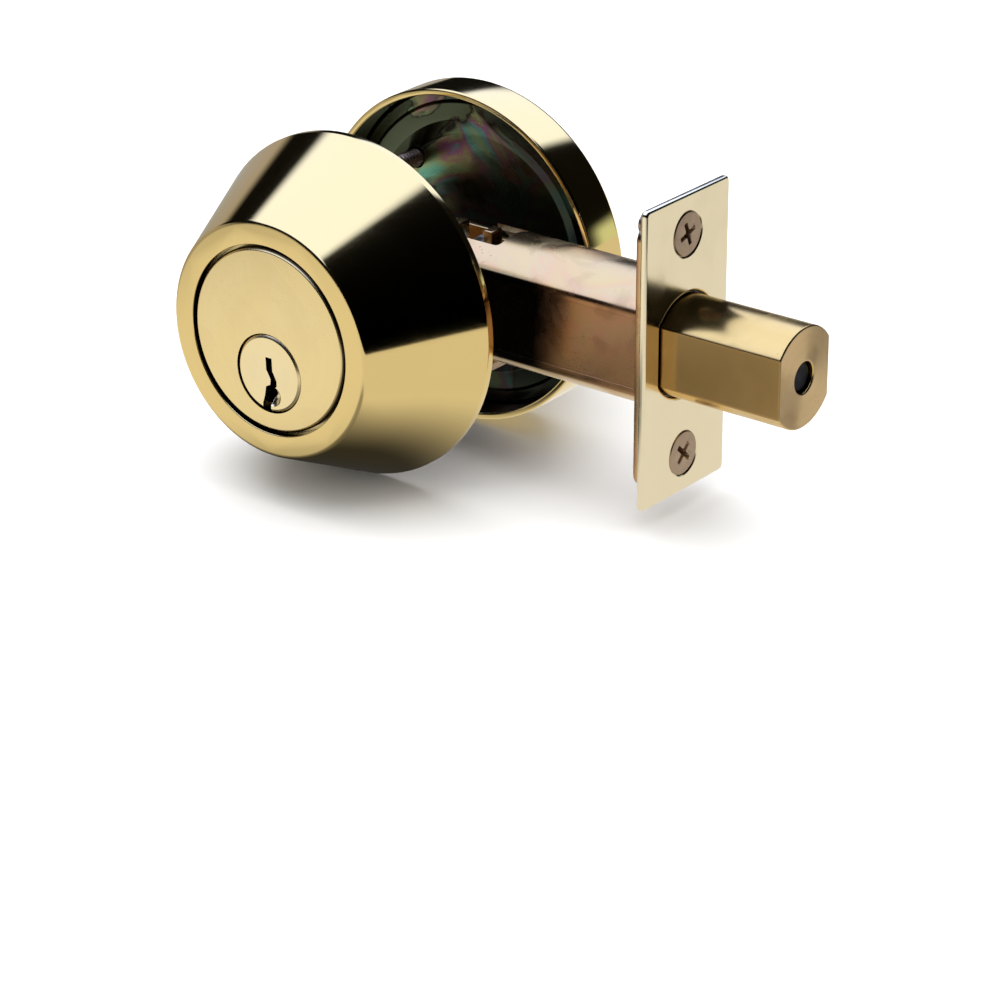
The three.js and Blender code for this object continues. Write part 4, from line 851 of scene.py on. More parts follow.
def shell_outline(radius, half_width, top):
    """A round barrel about the hub's axis with an upright block above it."""
    corner = math.asin(half_width / radius)
    points = []
    for step in range(81):
        a = math.pi / 2 + corner + (2 * math.pi - 2 * corner) * step / 80
        points.append((radius * math.cos(a), HUB_Z + radius * math.sin(a)))
    return points + [(half_width, top), (-half_width, top)]


def cylinder_body():
    flange_y = DISC_FRONT_Y + 2.6 * mm
    disc = turned("cylinder_disc", eased([
        (0, DISC_FRONT_Y),
        (DISC_R - 0.5 * mm, DISC_FRONT_Y, 0.3 * mm),
        (DISC_R, DISC_FRONT_Y + 0.5 * mm, 0.2 * mm),
        (DISC_R, flange_y),
        (high("cylinder_shell").x, flange_y),
        (high("cylinder_shell").x, flange_y + 2 * mm, 0.3 * mm),
        (0, flange_y + 2 * mm),
    ]), sides=224)
    shoulder_y = low("backing_plate").y - 0.3 * mm
    front = stamped("cylinder_front", [shell_outline(9.8 * mm, 4.85 * mm, BIBLE_TOP)],
                    (flange_y + 1 * mm, shoulder_y))
    rear = stamped("cylinder_rear", [shell_outline(8.6 * mm, 3.65 * mm, BIBLE_TOP - 1.2 * mm)],
                   (shoulder_y - 1 * mm, SHELL_REAR_Y))
    body = fused(disc, front, rear)
    head_span = (FACE_Y - THROUGH, FACE_Y + PLUG_HEAD_THICK + 0.1 * mm)
    head = rod("head_bore", PLUG_HEAD_R + 0.28 * mm, head_span, centre=HUB)
    bore = rod("plug_bore", PLUG_BORE_R, (FACE_Y - THROUGH, SHELL_REAR_Y + THROUGH), centre=HUB)
    bored(body, head, bore)
    return fitted(body, "lock_body", "satin_brass", SATIN, "cylinder_shell")


def keyway_outline():
    """The slot that the key enters, whose wards step it from side to side."""
    middles = [(-0.15, 3.0, 0.72), (-0.15, 0.5, 0.72), (0.85, -1.2, 0.72), (0.85, -2.2, 0.78),
               (0.1, -2.7, 1.0),
               (-0.35, -4.6, 0.8), (-0.6, -6.0, 0.95), (-0.5, -9.0, 0.95)]
    right = [((x + half) * mm, HUB_Z + z * mm) for x, z, half in middles]
    left = [((x - half) * mm, HUB_Z + z * mm) for x, z, half in middles]
    return right + left[::-1]


def cylinder_plug():
    rear = high("cylinder_plug").y
    plug = turned("plug_body", eased([
        (0, FACE_Y + 0.4 * mm),
        (PLUG_HEAD_R - 0.5 * mm, FACE_Y + 0.02 * mm, 0.15 * mm),
        (PLUG_HEAD_R - 0.02 * mm, FACE_Y + 0.36 * mm, 0.12 * mm),
        (PLUG_HEAD_R - 0.02 * mm, FACE_Y + PLUG_HEAD_THICK),
        (PLUG_R, FACE_Y + PLUG_HEAD_THICK),
        (PLUG_R, rear - 1.6 * mm, 0.3 * mm),
        (0, rear - 1.6 * mm),
    ]), centre=HUB, sides=160)
    keyway = stamped("keyway", [keyway_outline()], (FACE_Y - THROUGH, SHELL_REAR_Y - 1 * mm), edge=0)
    scoop = turned("scoop", [(0, FACE_Y - 1 * mm), (3.1 * mm, FACE_Y - 1 * mm), (0, FACE_Y + 1.9 * mm)],
                   centre=(0.75 * mm, HUB_Z - 4.2 * mm), sides=64)
    lug_angle = math.radians(90 - LUG_LEAD)
    lug_centre = (LUG_R * math.cos(lug_angle), HUB_Z + LUG_R * math.sin(lug_angle))
    lug = rod("lug", 1 * mm, (rear - 2 * mm, rear), centre=lug_centre, sides=32)
    bored(plug, keyway, scoop)
    fused(plug, lug)
    return fitted(plug, "plug", "plug_brass", PLUG, "cylinder_plug")


def plug_cap():
    """The threaded cap behind the plug, with the notches that a wrench holds."""
    front, rear = low("plug_cap").y, high("plug_cap").y
    outer = high("plug_cap").x
    inner, mouth = outer - 1.5 * mm, 3.75 * mm
    cap = turned("plug_cap_ring", eased([
        (inner, front), (outer, front, 0.2 * mm), (outer, rear, 0.3 * mm), (mouth, rear, 0.15 * mm),
        (mouth, rear - 0.9 * mm), (inner, rear - 0.9 * mm),
    ]), centre=HUB, sides=120)
    notches = []
    for step in range(12):
        a = 2 * math.pi * step / 12
        centre = (outer * math.cos(a), HUB_Z + outer * math.sin(a))
        notches.append(rod("notch", 0.45 * mm, (front - THROUGH, front + 2.6 * mm), centre=centre,
                           sides=16))
    bored(cap, *notches)
    return fitted(cap, "plug", "bolt_brass", SATIN, "plug_cap")


def backing_plate():
    radius = high("backing_plate").x
    opening = shell_outline(8.75 * mm, 3.8 * mm, BIBLE_TOP - 1.05 * mm)
    holes = [circle(3.55 * mm, 48, axis) for axis in SCREWS]
    span = (low("backing_plate").y, high("backing_plate").y)
    plate = stamped("backing_plate_disc", [circle(radius, LARGE), opening, *holes], span)
    rim = stamped("rim_relief", [circle(radius - 2.2 * mm, LARGE), circle(13 * mm, LARGE)],
                  (high("backing_plate").y - 0.35 * mm, high("backing_plate").y + 1 * mm), edge=0)
    pads = [rod("pad", 5.2 * mm, (-100 * mm, 0), centre=axis, sides=48) for axis in SCREWS]
    bored(plate, bored(rim, *pads))
    return fitted(plate, "lock_body", "plated_steel", PLATED, "backing_plate")


def mounting_post(index, axis):
    node = f"mounting_post_{index}"
    front, rear = low(node).y, high(node).y
    collar = low("backing_plate").y - 0.3 * mm
    post = turned(f"post_{index}", eased([
        (0, front), (3.4 * mm, front, 0.4 * mm), (3.4 * mm, collar - 1.2 * mm),
        (4.6 * mm, collar - 1.2 * mm, 0.2 * mm),
        (4.6 * mm, collar, 0.2 * mm), (3.4 * mm, collar), (3.4 * mm, rear, 0.45 * mm),
        (2.3 * mm, rear, 0.1 * mm),
        (2.0 * mm, rear - 0.4 * mm), (2.0 * mm, rear - 14.5 * mm), (0, rear - 14.5 * mm),
    ]), centre=axis, sides=72)
    return fitted(post, "lock_body", "plated_steel", PLATED, node)


# ---------------------------------------------------------------- screws

HEAD_DEPTH = 2.1 * mm  # from the top of a countersunk head to its neck
RECESS_DEPTH = 1.7 * mm


def cross_recess(name, face, depth, axis, centre, turn=0.0):
    """The tapered cross that a Phillips driver fits."""
    arm, web = 2.35 * mm, 0.5 * mm
    corners = [(arm, -web), (arm, web), (web, web), (web, arm), (-web, arm), (-web, web), (-arm, web),
               (-arm, -web),
               (-web, -web), (-web, -arm), (web, -arm), (web, -web)]
    cross = eased([(a, b, 0.22 * mm if abs(a) != abs(b) else 0.35 * mm) for a, b in corners], 3)
    cosine, sine = math.cos(turn), math.sin(turn)
    cross = [(a * cosine - b * sine, a * sine + b * cosine) for a, b in cross]
    return lofted(name, cross, face + 0.05 * mm, face - depth, 0.35, axis, centre)


def faceplate_screw(index):
    node = f"faceplate_screw_{index}"
    centre = PLATE_SCREWS[index - 1]
    head_r = high(node).y
    tip = low(node).x
    neck = PLATE_X - HEAD_DEPTH
    lean = math.radians(20 if centre[1] > 0 else 48)
    head = turned(f"plate_screw_{index}", eased([
        (0, PLATE_X), (head_r - 0.35 * mm, PLATE_X - 0.02 * mm, 0.15 * mm),
        (head_r, PLATE_X - 0.3 * mm, 0.12 * mm),
        (2 * mm, neck), (1.55 * mm, neck), (1.55 * mm, neck - 0.6 * mm), (0, neck - 0.6 * mm),
    ]), "X", centre, 96)
    bored(head, cross_recess("recess", PLATE_X, RECESS_DEPTH, "X", centre, lean))
    shank = threaded("shank", 2 * mm, 1.3 * mm, 0.5 * mm, (neck - 0.3 * mm, tip), "X", centre)
    fused(head, shank)
    return fitted(head, "lock_body", "bronze_screw", BRONZE, node)


def mounting_screw(index, axis):
    node = f"mounting_screw_{index}"
    face, tip = high(node).y, low(node).y
    neck = face - HEAD_DEPTH
    head = turned(f"through_screw_{index}", eased([
        (0, face), (3.3 * mm, face - 0.12 * mm, 0.6 * mm), (4.2 * mm, face - 0.5 * mm, 0.15 * mm),
        (1.85 * mm, neck),
        (1.5 * mm, neck), (1.5 * mm, neck - 4 * mm), (0, neck - 4 * mm),
    ]), "Y", axis, 96)
    bored(head, cross_recess("recess", face, RECESS_DEPTH, "Y", axis, 0.6 * index))
    shank = threaded("shank", 1.85 * mm, 0.9 * mm, 0.32 * mm, (neck - 3.5 * mm, tip), "Y", axis)
    fused(head, shank)
    return fitted(head, "lock_body", "bronze_screw", BRONZE, node)


# ---------------------------------------------------------------- turning pieces

def tailpiece():
    front, rear = low("tailpiece").y, high("tailpiece").y
    driver_y = front + 1.6 * mm
    disc = rod("tail_driver", 5.35 * mm, (driver_y, driver_y + 1.3 * mm), centre=HUB, edge=0.15 * mm)
    lug = rod("lug", 0.95 * mm, (front, driver_y + 0.5 * mm), centre=(0, HUB_Z + LUG_R), sides=32)
    blade = bar("tail_blade", (-3 * mm, 3 * mm), (driver_y, rear), (HUB_Z - 1 * mm, HUB_Z + 1 * mm),
                0.3 * mm)
    fused(blade, disc, lug)
    return fitted(blade, "tailpiece", "plated_steel", PLATED, "tailpiece")


def blade_slot(span):
    """The slot in which the tailpiece's blade slides."""
    half_width, half_height = 3.15 * mm, 1.15 * mm
    return bar("slot", (-half_width, half_width), span, (HUB_Z - half_height, HUB_Z + half_height))


def hub_crank():
    half = high("hub_crank").y
    reach = 12.7 * mm  # of the crank pin, along X and along Z from the hub's axis
    pin = (reach, reach + HUB_Z)
    case_inner = half - 1.2 * mm
    boss = turned("hub_boss", eased([
        (0, -half), (4.1 * mm, -half, 0.2 * mm), (4.1 * mm, -case_inner + 0.3 * mm),
        (5.2 * mm, -case_inner + 0.3 * mm, 0.2 * mm), (5.2 * mm, case_inner - 0.3 * mm, 0.2 * mm),
        (4.1 * mm, case_inner - 0.3 * mm), (4.1 * mm, half, 0.2 * mm), (0, half),
    ]), centre=HUB)
    arm = []
    for centre, radius, start in ((HUB, 4.4 * mm, 0.75 * math.pi), (pin, 2.9 * mm, -0.25 * math.pi)):
        for step in range(25):
            a = start + math.pi * step / 24
            arm.append((centre[0] + radius * math.cos(a), centre[1] + radius * math.sin(a)))
    arms = [stamped("crank_arm", [arm], span) for span in ((2.0 * mm, 3.8 * mm), (-3.8 * mm, -2.0 * mm))]
    crank_pin = rod("crank_pin", 2 * mm, (-3.8 * mm, 3.8 * mm), centre=pin, sides=48, edge=0.3 * mm)
    fused(boss, *arms, crank_pin)
    bored(boss, blade_slot((-half - THROUGH, half + THROUGH)))
    return fitted(boss, "hub", "cast_zinc", CAST, "hub_crank")


def thumbturn():
    """The paddle, its collar and its shaft, cast in one and polished."""
    top, shaft_y = high("thumbturn").y, low("thumbturn").y
    collar_y = top - 19.2 * mm
    paddle_y = top - 17 * mm
    shaft = turned("turn_shaft", eased([
        (0, shaft_y), (5 * mm, shaft_y, 0.3 * mm), (5 * mm, shaft_y + 1.1 * mm),
        (4.2 * mm, shaft_y + 1.1 * mm),
        (4.2 * mm, shaft_y + 2.1 * mm), (5 * mm, shaft_y + 2.1 * mm), (5 * mm, collar_y),
        (8.6 * mm, collar_y, 0.3 * mm),
        (8.6 * mm, paddle_y + 0.3 * mm, 1.1 * mm), (0, paddle_y + 0.3 * mm),
    ]), centre=HUB, sides=144)
    half_span, neck, bottom = high("thumbturn").x, 6.4 * mm, paddle_y - 1 * mm
    half_thick = high("thumbturn").z - HUB_Z
    outline = eased([
        (-neck, bottom), (neck, bottom), (neck, paddle_y + 2 * mm, 3 * mm),
        (half_span, paddle_y + 8 * mm, 4.5 * mm),
        (half_span - 1.5 * mm, top, 4.5 * mm), (-half_span + 1.5 * mm, top, 4.5 * mm),
        (-half_span, paddle_y + 8 * mm, 4.5 * mm), (-neck, paddle_y + 2 * mm, 3 * mm),
    ], 8)
    bm = bmesh.new()
    layers = 14
    rings = []
    middle = Vector((0, (paddle_y + top) / 2))
    for layer in range(layers + 1):
        a = math.pi * layer / layers - math.pi / 2
        swell = math.copysign(abs(math.sin(a)) ** 0.55, a)
        inset = (1 - abs(math.cos(a)) ** 0.5) * 2.1 * mm
        ring = []
        for x, y in outline:
            spoke = middle - Vector((x, y))
            shift = spoke.normalized() * inset
            ring.append(bm.verts.new((x + shift.x, max(y + shift.y, bottom), HUB_Z + swell * half_thick)))
        rings.append(ring)
    count = len(outline)
    for here, there in zip(rings, rings[1:]):
        for i in range(count):
            bm.faces.new((here[i], here[(i + 1) % count], there[(i + 1) % count], there[i]))
    bm.faces.new(rings[0])
    bm.faces.new(rings[-1])
    paddle = piece_from("turn_paddle", bm)
    fused(shaft, paddle)
    bored(shaft, blade_slot((shaft_y - THROUGH, collar_y - 1.5 * mm)))
    return fitted(shaft, "turn", "polished_brass", POLISHED, "thumbturn")


def thumbturn_clip():
    front, rear = low("thumbturn_clip").y, high("thumbturn_clip").y
    points = []
    gap = math.radians(17)
    for radius, turn in ((7.4 * mm, 1), (4.35 * mm, -1)):
        for step in range(65):
            share = step / 64 if turn > 0 else 1 - step / 64
            a = -math.pi / 2 + gap + (2 * math.pi - 2 * gap) * share
            bow = 1 + 0.05 * math.cos(3 * (a + math.pi / 2)) * (turn < 0)
            points.append((radius * bow * math.cos(a), HUB_Z + radius * bow * math.sin(a)))
    clip = stamped("clip_ring", [points], (front, rear), edge=0.12 * mm)
    return fitted(clip, "turn", "spring_steel", SPRING, "thumbturn_clip")


def wave_washer():
    """A thin washer bent into three waves that press the thumbturn home."""
    front, rear = low("wave_washer").y, high("wave_washer").y
    inner, outer = 5.3 * mm, high("wave_washer").x
    thick = 0.22 * mm
    middle, rise = (front + rear) / 2, (rear - front - thick) / 2
    bm = bmesh.new()
    sides = 96
    rings = []
    for step in range(sides):
        a = 2 * math.pi * step / sides
        y = middle + rise * math.cos(3 * a)
        corners = ((inner, y - thick / 2), (outer, y - thick / 2), (outer, y + thick / 2),
                   (inner, y + thick / 2))
        rings.append([bm.verts.new((r * math.cos(a), h, HUB_Z + r * math.sin(a))) for r, h in corners])
    for step in range(sides):
        here, there = rings[step], rings[(step + 1) % sides]
        for i in range(4):
            bm.faces.new((here[i], there[i], there[(i + 1) % 4], here[(i + 1) % 4]))
    return fitted(piece_from("wave_ring", bm), "turn", "spring_steel", SPRING, "wave_washer")


# ---------------------------------------------------------------- bolt and its case

def bolt():
    section = flatted(BOLT_R, BOLT_HALF, 300, 480)
    body = stamped("bolt_bar", [section, circle(2.95 * mm, 64)], (BOLT_REAR_X, BOLT_FRONT_X), "X", 0.3 * mm)
    plug_end = low("bolt_roller").x - 0.3 * mm
    web = stamped("bolt_web", [circle(3.3 * mm, 64)], (BOLT_REAR_X + 0.7 * mm, plug_end), "X", 0)
    fused(body, web)
    slot = bar("slot", (BOLT_REAR_X - THROUGH, BOLT_REAR_X + 7 * mm), (-1.75 * mm, 1.75 * mm),
               (-3.3 * mm, 5.3 * mm))
    bored(body, slot)
    return fitted(body, "bolt", "bolt_brass", BOLT, "bolt")


def bolt_roller():
    rear, front = low("bolt_roller").x, high("bolt_roller").x
    radius = high("bolt_roller").z
    roller = turned("roller_rod",
                    eased([(0, rear), (radius, rear, 0.3 * mm), (radius, front, 0.55 * mm), (0, front)]),
                    "X", (0, 0), 72)
    return fitted(roller, "roller", "hardened_steel", HARD, "bolt_roller")


def bolt_tail():
    rear, front = low("bolt_tail").x, high("bolt_tail").x
    top = high("bolt_tail").z
    prong, reach, floor, low_edge, bar_top, tongue = (2.2 * mm, 9.9 * mm, 3.4 * mm, 0.4 * mm, 5 * mm,
                                                      -3 * mm)
    tongue_rear = front - 6.4 * mm
    outline = eased([
        (rear, low_edge, 0.6 * mm), (rear, top, 0.5 * mm), (rear + prong, top, 0.5 * mm),
        (rear + prong, floor, 0.5 * mm),
        (rear + reach - prong, floor, 0.5 * mm), (rear + reach - prong, top, 0.5 * mm),
        (rear + reach, top, 0.5 * mm),
        (rear + reach, bar_top, 0.8 * mm), (front, bar_top, 0.3 * mm), (front, tongue, 0.3 * mm),
        (tongue_rear - 3 * mm, tongue, 0.8 * mm), (tongue_rear - 6 * mm, low_edge, 0.8 * mm),
    ])
    half = high("bolt_tail").y
    pin_hole = circle(1.55 * mm, 32, centre_of("tail_pin"))
    link = stamped("tail_link", [outline, pin_hole], (-half, half), edge=0.2 * mm)
    return fitted(link, "bolt", "yellow_zinc", YELLOW, "bolt_tail")


def pin_along_y(name, node, body):
    radius = (high(node).x - low(node).x) / 2
    pin = rod(name, radius, (low(node).y, high(node).y), centre=centre_of(node), sides=48, edge=0.25 * mm)
    return fitted(pin, body, "plated_steel", PLATED, node)


def bolt_tube():
    """Two half shells rolled from sheet and closed round the bolt, with tabs at the rear."""
    rear, front = low("bolt_tube").x, high("bolt_tube").x
    wall = 1.0 * mm
    outer = flatted(TUBE_R, TUBE_HALF, 46, 320)
    inner = flatted(TUBE_R - wall, TUBE_HALF - wall, 60, 320)
    tube = stamped("tube_shell", [outer, inner], (rear, front), "X", 0.12 * mm)
    crown = bar("crown_notch", (rear - THROUGH, rear + 7.65 * mm), (-4.8 * mm, 4.8 * mm),
                (0, TUBE_R + THROUGH), 1 * mm)
    side = bar("side_notch", (rear - THROUGH, rear + 7 * mm), (-TUBE_R, TUBE_R), (-5.6 * mm, 5.6 * mm),
               1 * mm)
    seam = bar("seam", (rear + 12 * mm, front + THROUGH), (-0.06 * mm, 0.06 * mm),
               (-TUBE_R - 0.5 * mm, -TUBE_R + 0.5 * mm))
    pressed, outside = TUBE_HALF - 0.16 * mm, 14 * mm
    panels = [bar("panel", (rear + 4 * mm, front + THROUGH), y, (-6.75 * mm, 6.75 * mm), 0.12 * mm)
              for y in ((-outside, -pressed), (pressed, outside))]
    bored(tube, crown, side, seam, *panels)
    return fitted(tube, "lock_body", "yellow_zinc", YELLOW, "bolt_tube")


def bolt_guide():
    rear, front = low("bolt_guide").x, high("bolt_guide").x
    outer = flatted(high("bolt_guide").z, high("bolt_guide").y, 60)
    inner = flatted(BOLT_R + 0.1 * mm, BOLT_HALF + 0.1 * mm, 110)
    guide = stamped("guide_bush", [outer, inner], (rear, front), "X", 0.1 * mm)
    return fitted(guide, "lock_body", "nylon", NYLON, "bolt_guide")


def tube_collar():
    rear, front = low("tube_collar").x, high("tube_collar").x
    outer = flatted(-low("tube_collar").z, high("tube_collar").y, 60)
    saddle = stamped("saddle", [outer], (rear, front), "X", 0.2 * mm)
    window = bar("window", (rear - THROUGH, front + THROUGH), (-6.4 * mm, 6.4 * mm), (-8.7 * mm, TUBE_R),
                 0.0)
    hole = rod("hole", 1.65 * mm, (-TUBE_R, TUBE_R), centre=centre_of("collar_rivet"), sides=32)
    bored(saddle, window, hole)
    return fitted(saddle, "lock_body", "cast_zinc", CAST, "tube_collar")


def case_plate(node):
    rear, front = low(node).x, high(node).x
    bottom, top = low(node).z, high(node).z
    neck_x, neck = front - 6.6 * mm, 8.4 * mm
    outline = eased([
        (rear, bottom, 5 * mm), (neck_x, bottom, 2 * mm), (neck_x, -neck, 0.3 * mm),
        (front, -neck, 0.3 * mm),
        (front, neck, 0.3 * mm), (neck_x, neck, 0.3 * mm), (neck_x, top, 0.8 * mm), (rear, top, 3 * mm),
    ])
    rivets = ("case_rivet_1", "case_rivet_2", "collar_rivet")
    holes = [circle(4.2 * mm, 72, HUB), *(circle(1.6 * mm, 32, centre_of(rivet)) for rivet in rivets)]
    plate = stamped(node + "_blank", [outline, *holes], (low(node).y, high(node).y), edge=0.18 * mm)
    return fitted(plate, "lock_body", "yellow_zinc", YELLOW, node)


def case_rivet(index):
    node = f"case_rivet_{index}"
    outer = high(node).y
    inner, shank, head = outer - 0.8 * mm, 1.5 * mm, 2.38 * mm
    half = [(head - 0.7 * mm, outer, 0.5 * mm), (head, inner + 0.15 * mm, 0.25 * mm),
            (head - 0.1 * mm, inner), (shank, inner)]
    rest = [(r, -h, *size) for r, h, *size in reversed(half)]
    outline = eased([(0, outer), *half, *rest, (0, -outer)])
    rivet = turned(f"rivet_{index}", outline, centre=centre_of(node), sides=56)
    return fitted(rivet, "lock_body", "plated_steel", PLATED, node)


def detent_spring():
    """A leaf that passes under the hub and snaps against it at each end of its turn."""
    lowest, highest = low("detent_spring"), high("detent_spring")
    thick = 0.4 * mm
    rear, front = lowest.x, highest.x
    under, seat_rear = lowest.z + thick, highest.z
    seat_front = centre_of("case_rivet_2")[1] - 1.6 * mm
    top = [(rear, seat_rear), (rear + 3.6 * mm, seat_rear, 2 * mm), (-3 * mm, under, 3 * mm),
           (3 * mm, under, 3 * mm),
           (front - 3.6 * mm, seat_front, 2 * mm), (front, seat_front)]
    bottom = [(a, b - thick, *size) for a, b, *size in reversed(top)]
    leaf = stamped("spring_leaf", [eased(top + bottom, 6)], (lowest.y, highest.y), edge=0.08 * mm)
    return fitted(leaf, "lock_body", "spring_steel", SPRING, "detent_spring")


# ---------------------------------------------------------------- edge plates

def faceplate():
    rear = low("faceplate").x
    blank = rounded_rectangle(high("faceplate").y, high("faceplate").z, 1 * mm)
    opening = flatted(BOLT_R + 0.35 * mm, BOLT_HALF + 0.35 * mm, 110, 256)
    plate = stamped("faceplate_sheet", [blank, opening], (rear, PLATE_X), "X", 0.45 * mm)
    sinks = []
    for centre in PLATE_SCREWS:
        sinks.append(turned("sink", [
            (0, rear - THROUGH), (2.2 * mm, rear - THROUGH), (2.2 * mm, PLATE_X - HEAD_DEPTH),
            (4.3 * mm, PLATE_X - 0.1 * mm), (4.62 * mm, PLATE_X + 0.02 * mm),
            (4.62 * mm, PLATE_X + 1 * mm), (0, PLATE_X + 1 * mm),
        ], "X", centre, 96))
    bored(plate, *sinks)
    return fitted(plate, "lock_body", "faceplate_brass", FACEPLATE, "faceplate")


def backplate():
    rear, front = low("backplate").x, high("backplate").x
    blank = rounded_rectangle(high("backplate").y, high("backplate").z, 3 * mm)
    opening = flatted(TUBE_R + 0.15 * mm, TUBE_HALF + 0.15 * mm, 46, 256)
    holes = [circle(2.6 * mm, 48, centre) for centre in PLATE_SCREWS]
    plate = stamped("backplate_sheet", [blank, opening, *holes], (rear, front), "X", 0.2 * mm)
    return fitted(plate, "lock_body", "yellow_zinc", YELLOW, "backplate")


# ---------------------------------------------------------------- interior side

def interior_rose():
    """The cup on the room side, with a rolled rim, a shallow face and the thumbturn's boss."""
    band_y = ROOM_SIDE_Y + 9.1 * mm
    face_y = band_y + 2 * mm
    crown_y = face_y + 2.6 * mm
    wall = 1.3 * mm
    shell = turned("rose_shell", eased([
        (0, crown_y), (13 * mm, crown_y, 4 * mm), (ROSE_R - 2 * mm, face_y, 3 * mm),
        (ROSE_R, band_y, 1.2 * mm),
        (ROSE_R, ROOM_SIDE_Y, 0.45 * mm), (ROSE_R - wall, ROOM_SIDE_Y, 0.45 * mm),
        (ROSE_R - wall, band_y - wall / 2, 1 * mm),
        (ROSE_R - 2 * mm - wall, face_y - wall), (13 * mm, crown_y - wall), (0, crown_y - wall),
    ], 8), sides=256)
    boss = turned("rose_boss", eased([
        (0, crown_y - wall / 2), (11 * mm, crown_y - wall / 2), (9.8 * mm, crown_y + 1.2 * mm, 0.4 * mm),
        (0, crown_y + 1.2 * mm),
    ]), centre=HUB, sides=144)
    fused(shell, boss)
    recess = rod("recess", 9.1 * mm, (crown_y, crown_y + THROUGH), centre=HUB)
    hole = rod("hole", 6.55 * mm, (face_y - THROUGH, crown_y + THROUGH), centre=HUB)
    sinks = []
    head_y = high("mounting_screw_1").y
    for axis in SCREWS:
        sinks.append(turned("sink", [
            (0, ROOM_SIDE_Y + 6 * mm), (2 * mm, ROOM_SIDE_Y + 6 * mm), (2 * mm, head_y - HEAD_DEPTH),
            (4.35 * mm, head_y - 0.35 * mm), (4.55 * mm, head_y + THROUGH), (0, head_y + THROUGH)],
                            centre=axis, sides=72))
    bored(shell, recess, hole, *sinks)
    return fitted(shell, "lock_body", "polished_brass", POLISHED, "interior_rose")


def rose_mounting_plate():
    rim_y, thick, dish = low("rose_mounting_plate").y, 1.4 * mm, 1.2 * mm
    outer = high("rose_mounting_plate").x
    plate = turned("rose_plate", eased([
        (0, rim_y + dish), (22 * mm, rim_y + dish, 1 * mm), (25 * mm, rim_y, 1.2 * mm),
        (28.4 * mm, rim_y, 0.5 * mm),
        (28.9 * mm, rim_y + 0.45 * mm, 0.3 * mm), (outer, rim_y + 0.45 * mm, 0.2 * mm),
        (outer, rim_y + thick, 0.2 * mm),
        (25.5 * mm, rim_y + thick), (22.5 * mm, rim_y + dish + thick), (0, rim_y + dish + thick),
    ], 7), sides=224)
    span = (rim_y - THROUGH, rim_y + 2 * THROUGH)
    screw_holes = [rod("hole", 2.15 * mm, span, centre=axis, sides=48) for axis in SCREWS]
    bored(plate, rod("hole", 5.1 * mm, span, centre=HUB), *screw_holes)
    return fitted(plate, "lock_body", "dark_zinc", DARK, "rose_mounting_plate")


def thumbturn_bushing():
    front, rear = low("thumbturn_bushing").y, high("thumbturn_bushing").y
    outer = high("thumbturn_bushing").x
    ring = turned("turn_bush", eased([
        (outer - 1.3 * mm, front), (outer, front, 0.15 * mm), (outer, rear, 0.15 * mm),
        (outer - 1.3 * mm, rear)]), centre=HUB)
    return fitted(ring, "lock_body", "nylon", NYLON, "thumbturn_bushing")


# ---------------------------------------------------------------- assembly

for piece_maker in (exterior_housing, cylinder_body, cylinder_plug, plug_cap, backing_plate, tailpiece,
                    hub_crank,
                    thumbturn, thumbturn_clip, wave_washer, bolt, bolt_roller, bolt_tail, bolt_tube,
                    bolt_guide,
                    tube_collar, detent_spring, faceplate, backplate, interior_rose, rose_mounting_plate,
                    thumbturn_bushing):
    piece_maker()
for index, axis in enumerate(SCREWS, 1):
    mounting_post(index, axis)
    mounting_screw(index, axis)
    faceplate_screw(index)
    case_rivet(index)
case_plate("case_plate_exterior")
case_plate("case_plate_interior")
pin_along_y("tail_pin_rod", "tail_pin", "bolt")
pin_along_y("collar_pin", "collar_rivet", "lock_body")

INNER_FINISHES = {"key_pin": SATIN, "driver_pin": SATIN, "pin_spring": SPRING, "pin_chamber_cover": SATIN,
                  "steel_guard_ring": HARD}
for name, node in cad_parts.items():
    for start, material in INNER_FINISHES.items():
        if name.startswith(start):
            node.data.materials.clear()
            node.data.materials.append(material)


# ---------------------------------------------------------------- camera, floor and lights

def camera():
    data = bpy.data.cameras.new("studio_camera")
    data.lens = 138.0
    data.sensor_width = 36.0
    data.clip_start = 0.01
    data.clip_end = 20
    shot = bpy.data.objects.new("studio_camera", data)
    azimuth, elevation = math.radians(37.73), math.radians(24.31)
    shot.location = (0.4236, -0.5239, 0.2571)
    shot.rotation_euler = (math.pi / 2 - elevation, 0, azimuth)
    bpy.context.scene.collection.objects.link(shot)
    bpy.context.scene.camera = shot


def seen_only_by(thing, camera=False, diffuse=False, glossy=False, shadow=False):
    thing.visible_camera = camera
    thing.visible_diffuse = diffuse
    thing.visible_glossy = glossy
    thing.visible_transmission = camera
    thing.visible_shadow = shadow


def plain(name, colour, roughness=0.7):
    material = bpy.data.materials.new(name)
    material.use_nodes = True
    shader = material.node_tree.nodes["Principled BSDF"]
    shader.inputs["Base Color"].default_value = shade(*colour)
    shader.inputs["Roughness"].default_value = roughness
    return material


def sheet_between(name, corners, material):
    bm = bmesh.new()
    bm.faces.new([bm.verts.new(corner) for corner in corners])
    mesh = bpy.data.meshes.new(name)
    bm.to_mesh(mesh)
    bm.free()
    card = new_piece(name, mesh)
    mesh.materials.append(material)
    return card


def glowing(name, colour, strength, spread):
    """A card that glows softly; spread gives its share of the strength from x, y and z."""
    material = plain(name, (0, 0, 0), roughness=1.0)
    tree = material.node_tree
    shader = tree.nodes["Principled BSDF"]
    shader.inputs["Specular IOR Level"].default_value = 0.0
    shader.inputs["Emission Color"].default_value = shade(*colour)
    place = put(tree, "SeparateXYZ", {"Vector": put(tree, "TexCoord").outputs["Object"]}).outputs
    share = spread(tree, place["X"], place["Y"], place["Z"])
    tree.links.new(times(tree, share, strength), shader.inputs["Emission Strength"])
    return material


